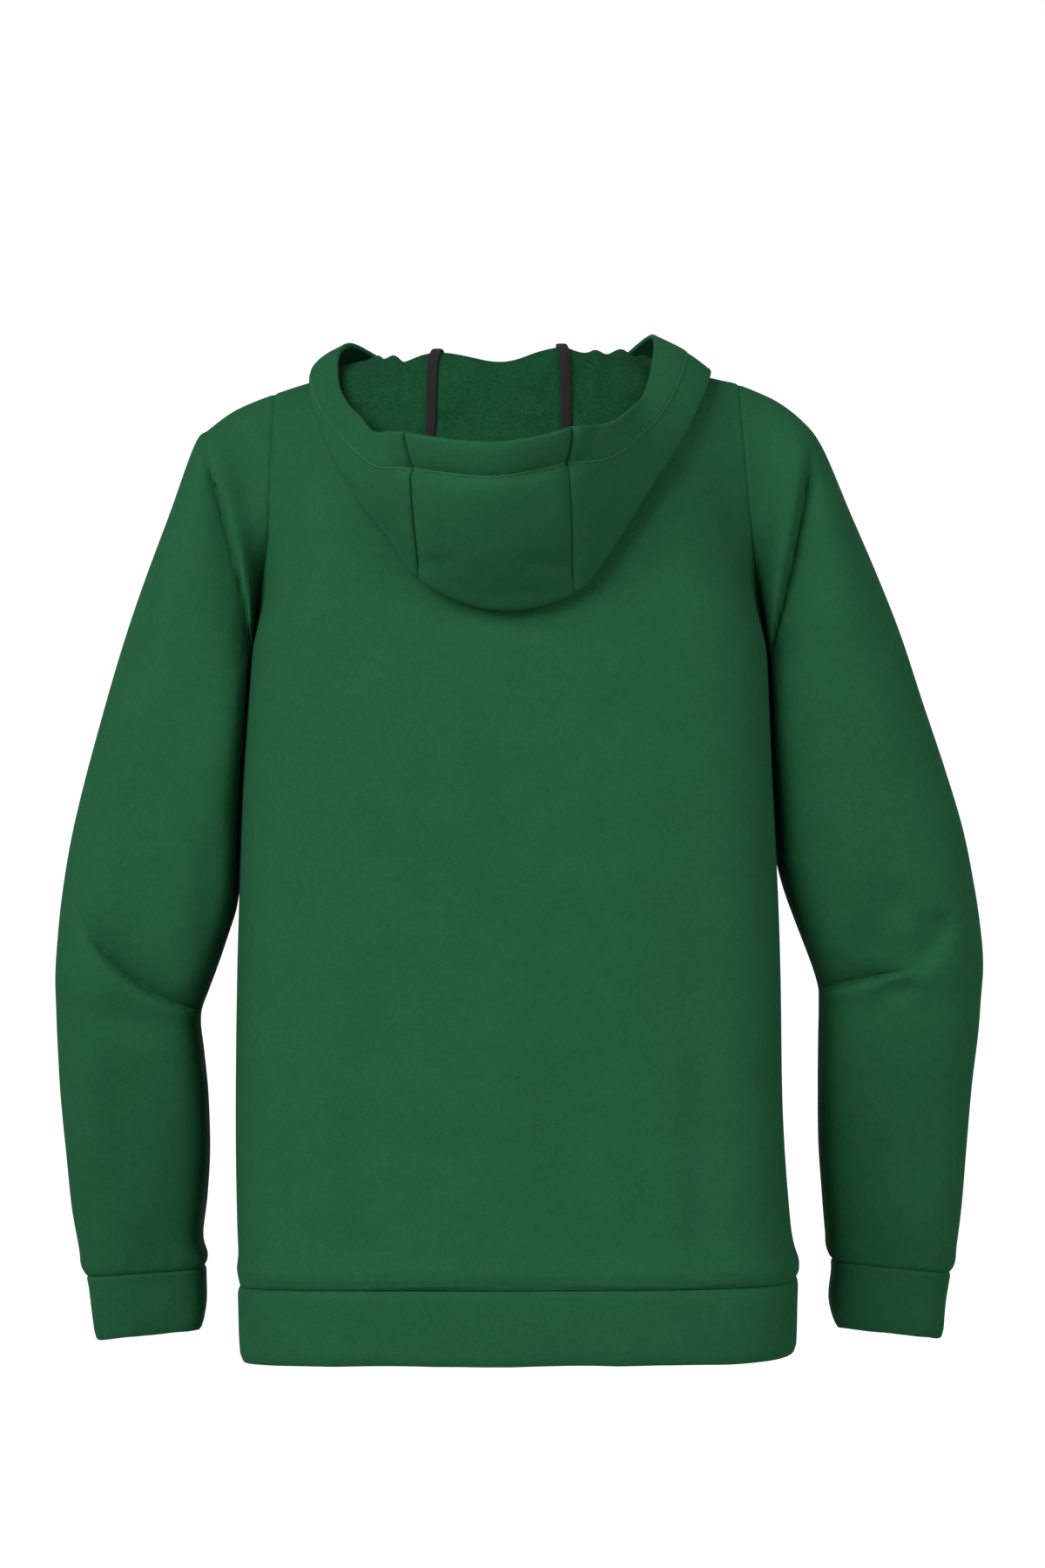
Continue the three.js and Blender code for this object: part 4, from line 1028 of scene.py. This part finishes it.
def hood_relief(grid):
    """How far the hood's cloth lies in from its even shape, along its outward direction."""
    rows = len(grid)
    relief = np.zeros(grid.shape[:2])
    share = np.arange(rows) / (rows - 1)
    for k in range(len(HOOD_CREASES["depth"])):
        crease = {name: HOOD_CREASES[name][k] for name in HOOD_CREASES}
        t = np.linspace(0, 1, 25)
        i = np.clip(np.round(mix(crease["along0"], crease["along1"], t) * (rows - 1)).astype(int), 0, rows - 1)
        j = np.abs(PLACES[None] - mix(crease["place0"], crease["place1"], t)[:, None]).argmin(1)
        line = grid[i, j]
        distances = np.linalg.norm(grid[:, :, None] - line, axis=-1)
        fade = np.sin(np.pi * mix(0.08, 0.92, t[distances.argmin(-1)]))
        relief += crease["depth"] * fade * bell(distances.min(-1), crease["width"])
    outer_layer = smooth((share - 0.5) * 8)[:, None]
    relief += waver("hood_drape", grid) * (0.4 + 0.6 * outer_layer) * smooth(share * 8)[:, None]
    return relief


def hood_faces():
    """The hood's two faces, its base grid and its outward directions."""
    grid = hood_grid()
    normals = normals_of(grid)
    if normals[HOOD_ROWS, LEFT_SEAM, 1] > 0:
        normals = -normals
    normals[:, [0, -1]] = unit(normals[:, [0, -1]] * (0, 1, 1))
    from_rim = edge_distance(grid, last_row=True)
    share = (np.arange(len(grid)) / (len(grid) - 1))[:, None]
    moved = grid.copy()
    moved[..., 2] += read(RIM_WAVES, "place", "lift", PLACES) * smooth(1 - from_rim / 45)
    moved[..., 2] += read(CREST_WAVES, "place", "lift", PLACES) * bell(share - 0.1, 0.05)
    relief = hood_relief(grid)
    from_seam = np.minimum(*[np.linalg.norm(grid - grid[:, [j]], axis=-1) for j in (LEFT_SEAM, RIGHT_SEAM)])
    between = (np.arange(len(PLACES)) >= LEFT_SEAM) & (np.arange(len(PLACES)) <= RIGHT_SEAM)
    outer_layer = smooth((share - 0.5) * 8)
    pillow = np.where(between, 2.2 * bell(from_seam, 7), 0.6 * bell(from_seam, 5)) * outer_layer
    behind = np.where(between, 1, smooth(1 - from_seam / 30))
    lean = -RIM_LEAN * smooth(1 - from_rim / 24) + HEM_VALLEY * bell(from_rim - STITCH_LINE, 4)
    notch = 1.6 * bell(from_seam, 2.5) * smooth((27 - from_rim) / 3)
    relief = relief + pillow + seam_dip(from_seam, 0.9) + lean * behind + notch
    step = HEM_STEP * smooth((25.6 - from_rim) / 1.0)
    groove = STITCH_DIP * bell(from_rim - STITCH_LINE, 1.1)
    shape = (relief * smooth(share * 20))[..., None]
    outer = moved + normals * (step - groove)[..., None] - normals * shape
    inner = moved - normals * (CLOTH + step - groove)[..., None] - normals * shape
    return grid, normals, outer, inner


HOOD_BASE, HOOD_NORMALS, HOOD_OUTER, HOOD_INNER = hood_faces()


def hood_panel(name, node, first, last, **cut):
    """The columns of a hood panel, drawn back from its seams by half a gap."""
    faces = []
    for grid in (HOOD_OUTER, HOOD_INNER):
        part = grid[:, first : last + 1].copy()
        if first > 0:
            part[:, 0] += unit(part[:, 1] - part[:, 0]) * STITCHED_GAP / 2
        if last < len(PLACES) - 1:
            part[:, -1] += unit(part[:, -2] - part[:, -1]) * STITCHED_GAP / 2
        faces.append(part)
    places = cut_places(HOOD_BASE[:, first : last + 1])
    piece = wall(name, *faces, places, FLEECE, rolled=True)
    dress(piece, node, "fleece", **cut)


def seam_tape(name, column, **cut):
    """Tape over the inside of a hood seam, from above the neck seam to inside the turned hem."""
    rows = slice(5, HOOD_ROWS + len(HEM_LINES) - 3)
    here = HOOD_INNER[rows, column]
    out = HOOD_NORMALS[rows, column]
    beside = unit(HOOD_INNER[rows, column + 6] - HOOD_INNER[rows, column - 6])
    offsets = np.linspace(-1, 1, 13)
    dome = 1 - 0.45 * offsets**4
    base = here[:, None] + beside[:, None] * (offsets * TAPE_WIDTH / 2)[None, :, None]
    under = base - out[:, None] * TAPE_GAP
    over = base - out[:, None] * (TAPE_GAP + TAPE_THICK * dome)[None, :, None]
    places = cut_places(base)
    piece = wall(f"{name}_seam_tape", over, under, places, (TAPE, TAPE))
    dress(piece, f"seam_tape_{name}", "seam_tape", **cut)


def one_stitch():
    """A stitch of thread, rounded and a little flattened, along X."""
    bpy.ops.object.select_all(action="DESELECT")
    bpy.ops.mesh.primitive_uv_sphere_add(segments=8, ring_count=6, radius=0.5)
    stitch = bpy.context.object
    bpy.ops.object.mode_set(mode="EDIT")
    bpy.ops.mesh.select_all(action="SELECT")
    bpy.ops.transform.resize(value=(STITCH_LENGTH, STITCH_THICK, 0.8 * STITCH_THICK))
    bpy.ops.object.mode_set(mode="OBJECT")
    points = np.array([v.co for v in stitch.data.vertices])
    faces = [tuple(f.vertices) for f in stitch.data.polygons]
    mesh = stitch.data
    bpy.data.objects.remove(stitch)
    bpy.data.meshes.remove(mesh)
    return points, faces


def row_of_stitches(name, line, out):
    """Stitches at even steps along a line of points, lying on the face that "out" points away from."""
    points, faces = one_stitch()
    run = np.concatenate([[0], np.cumsum(np.linalg.norm(np.diff(line, axis=0), axis=1))])
    stops = np.arange(STITCH_PITCH, run[-1] - STITCH_PITCH, STITCH_PITCH)
    at = along_line(stops, run, line)
    up = unit(along_line(stops, run, out))
    ahead = unit(np.gradient(at, axis=0))
    aside = unit(np.cross(up, ahead))
    ahead = np.cross(aside, up)
    vertices, joined = [], []
    for k in range(len(stops)):
        turned = points @ np.array([ahead[k], aside[k], up[k]]) + at[k] + up[k] * STITCH_LIFT
        joined.extend(tuple(v + len(points) * k for v in face) for face in faces)
        vertices.append(turned)
    mesh = bpy.data.meshes.new(name)
    mesh.from_pydata((np.concatenate(vertices) * MM).tolist(), [], joined)
    mesh.materials.append(THREAD)
    piece = bpy.data.objects.new(name, mesh)
    bpy.context.scene.collection.objects.link(piece)
    smooth_over(piece)
    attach(piece, "root")


def sew_hood_hem():
    """The row of stitches that holds the turned hem, on the outside and the inside of the hood."""
    outer, inner, out = (grid[STITCH_ROW, 3:-3] for grid in (HOOD_OUTER, HOOD_INNER, HOOD_NORMALS))
    row_of_stitches("hood_hem_stitches", outer, out)
    row_of_stitches("hood_hem_stitches_inside", inner, -out)


# Studio

CAMERA_DISTANCE = 5.0
CAMERA_TARGET = Vector((0.0078, 0, -0.312))
VIEW_HEIGHT = 1.170  # of the frame at the garment
SENSOR = 36
SHOULDERS_UP = 1.45
ROOM_LIGHT = 0.38
WALL_LIGHT = 1.2
CEILING_LIGHT = 0.5  # straight overhead, as a share of the room's
SOFT_LIGHTS = (("key", (-2.1, -2.8, 1.4), 2.4, 164), ("fill", (2.9, -2.2, 0.8), 2.2, 56))  # place, size, power
LIGHT_AIM = (0, 0, -0.35)
FLOOR_SIZE = 9
FLOOR_GREY = (0.5, 0.5, 0.5, 1)
WALL_SPREAD = (0.3, 0.975)  # cosine of the angle from straight behind: where the wall begins, and is full


def camera():
    data = bpy.data.cameras.new("camera")
    data.sensor_width = SENSOR
    data.lens = SENSOR * CAMERA_DISTANCE / VIEW_HEIGHT
    seen = bpy.data.objects.new("camera", data)
    bpy.context.scene.collection.objects.link(seen)
    seen.location = CAMERA_TARGET - Vector((0, CAMERA_DISTANCE, 0))
    seen.rotation_euler = (math.radians(90), 0, 0)
    bpy.context.scene.camera = seen


def soft_light(name, place, size, power):
    data = bpy.data.lights.new(name, "AREA")
    data.size = size
    data.energy = power
    light = bpy.data.objects.new(name, data)
    bpy.context.scene.collection.objects.link(light)
    light.location = place
    light.rotation_euler = (Vector(LIGHT_AIM) - Vector(place)).to_track_quat("-Z", "Y").to_euler()


def floor():
    """A pale floor, as far below as the floor is under a standing wearer's shoulders."""
    bpy.ops.object.select_all(action="DESELECT")
    bpy.ops.mesh.primitive_plane_add(size=FLOOR_SIZE, location=(0, 0, -SHOULDERS_UP))
    ground = bpy.context.object
    ground.name = "studio_floor"
    bpy.ops.object.transform_apply(location=True, rotation=True, scale=True)
    look = Look("pale_floor", roughness=0.9, specular=0.1)
    look.shader.inputs["Base Color"].default_value = FLOOR_GREY
    ground.data.materials.append(look.material)


def studio():
    """A dim white room, with a bright white wall behind the garment and a large soft light at its left."""
    world = bpy.data.worlds.new("studio")
    bpy.context.scene.world = world
    world.use_nodes = True
    tree = world.node_tree
    background = tree.nodes["Background"]
    background.inputs["Color"].default_value = (1, 1, 1, 1)
    toward = add_node(tree, "TexCoord", output="Generated")
    behind, overhead = (add_node(tree, "SeparateXYZ", {0: toward}, output=axis) for axis in ("Y", "Z"))
    spread = dict(zip(("From Min", "From Max", "To Min", "To Max"), (*WALL_SPREAD, ROOM_LIGHT, WALL_LIGHT)))
    far_wall = add_node(tree, "MapRange", {"Value": behind, **spread}, interpolation_type="SMOOTHSTEP")
    ceiling = add_node(tree, "MapRange", {"Value": overhead, "To Min": 1, "To Max": CEILING_LIGHT})
    strength = add_node(tree, "Math", {0: far_wall, 1: ceiling}, operation="MULTIPLY")
    tree.links.new(strength, background.inputs["Strength"])
    bpy.context.scene.view_settings.view_transform = "Standard"
    for light in SOFT_LIGHTS:
        soft_light(*light)


# Flat sizes are the maker's cut, in metres, with its area where the cut isn't a rectangle.
body_panel("back", flat=(0.60, 0.74), area=0.36, held="hung", rests_on=["front_panel"])
body_panel("front", flat=(0.60, 0.74), area=0.36, held="hung", rests_on=["back_panel"])
hem_band(flat=(1.20, 0.056), held="hung", rests_on=["back_panel"])
for NAME, SIDE in (("left", -1), ("right", 1)):
    sleeve(NAME, SIDE, flat=(0.47, 0.68), area=0.255, held="hung", rests_on=["back_panel"])
    cuff(NAME, SIDE, flat=(0.25, 0.056), held="hung", rests_on=[f"sleeve_{NAME}"])
hood_panel("centre_of_hood", "hood_centre", LEFT_SEAM, RIGHT_SEAM,
           flat=(0.12, 0.36), held="folded", rests_on=["back_panel"])
hood_panel("left_of_hood", "hood_side_left", 0, LEFT_SEAM,
           flat=(0.30, 0.30), area=0.05, held="folded", rests_on=["back_panel"])
hood_panel("right_of_hood", "hood_side_right", RIGHT_SEAM, len(PLACES) - 1,
           flat=(0.30, 0.30), area=0.05, held="folded", rests_on=["back_panel"])
seam_tape("left", LEFT_SEAM, flat=(0.010, 0.31), held="folded", rests_on=["hood_centre"])
seam_tape("right", RIGHT_SEAM, flat=(0.010, 0.34), held="folded", rests_on=["hood_centre"])
sew_hood_hem()
floor()
studio()
camera()
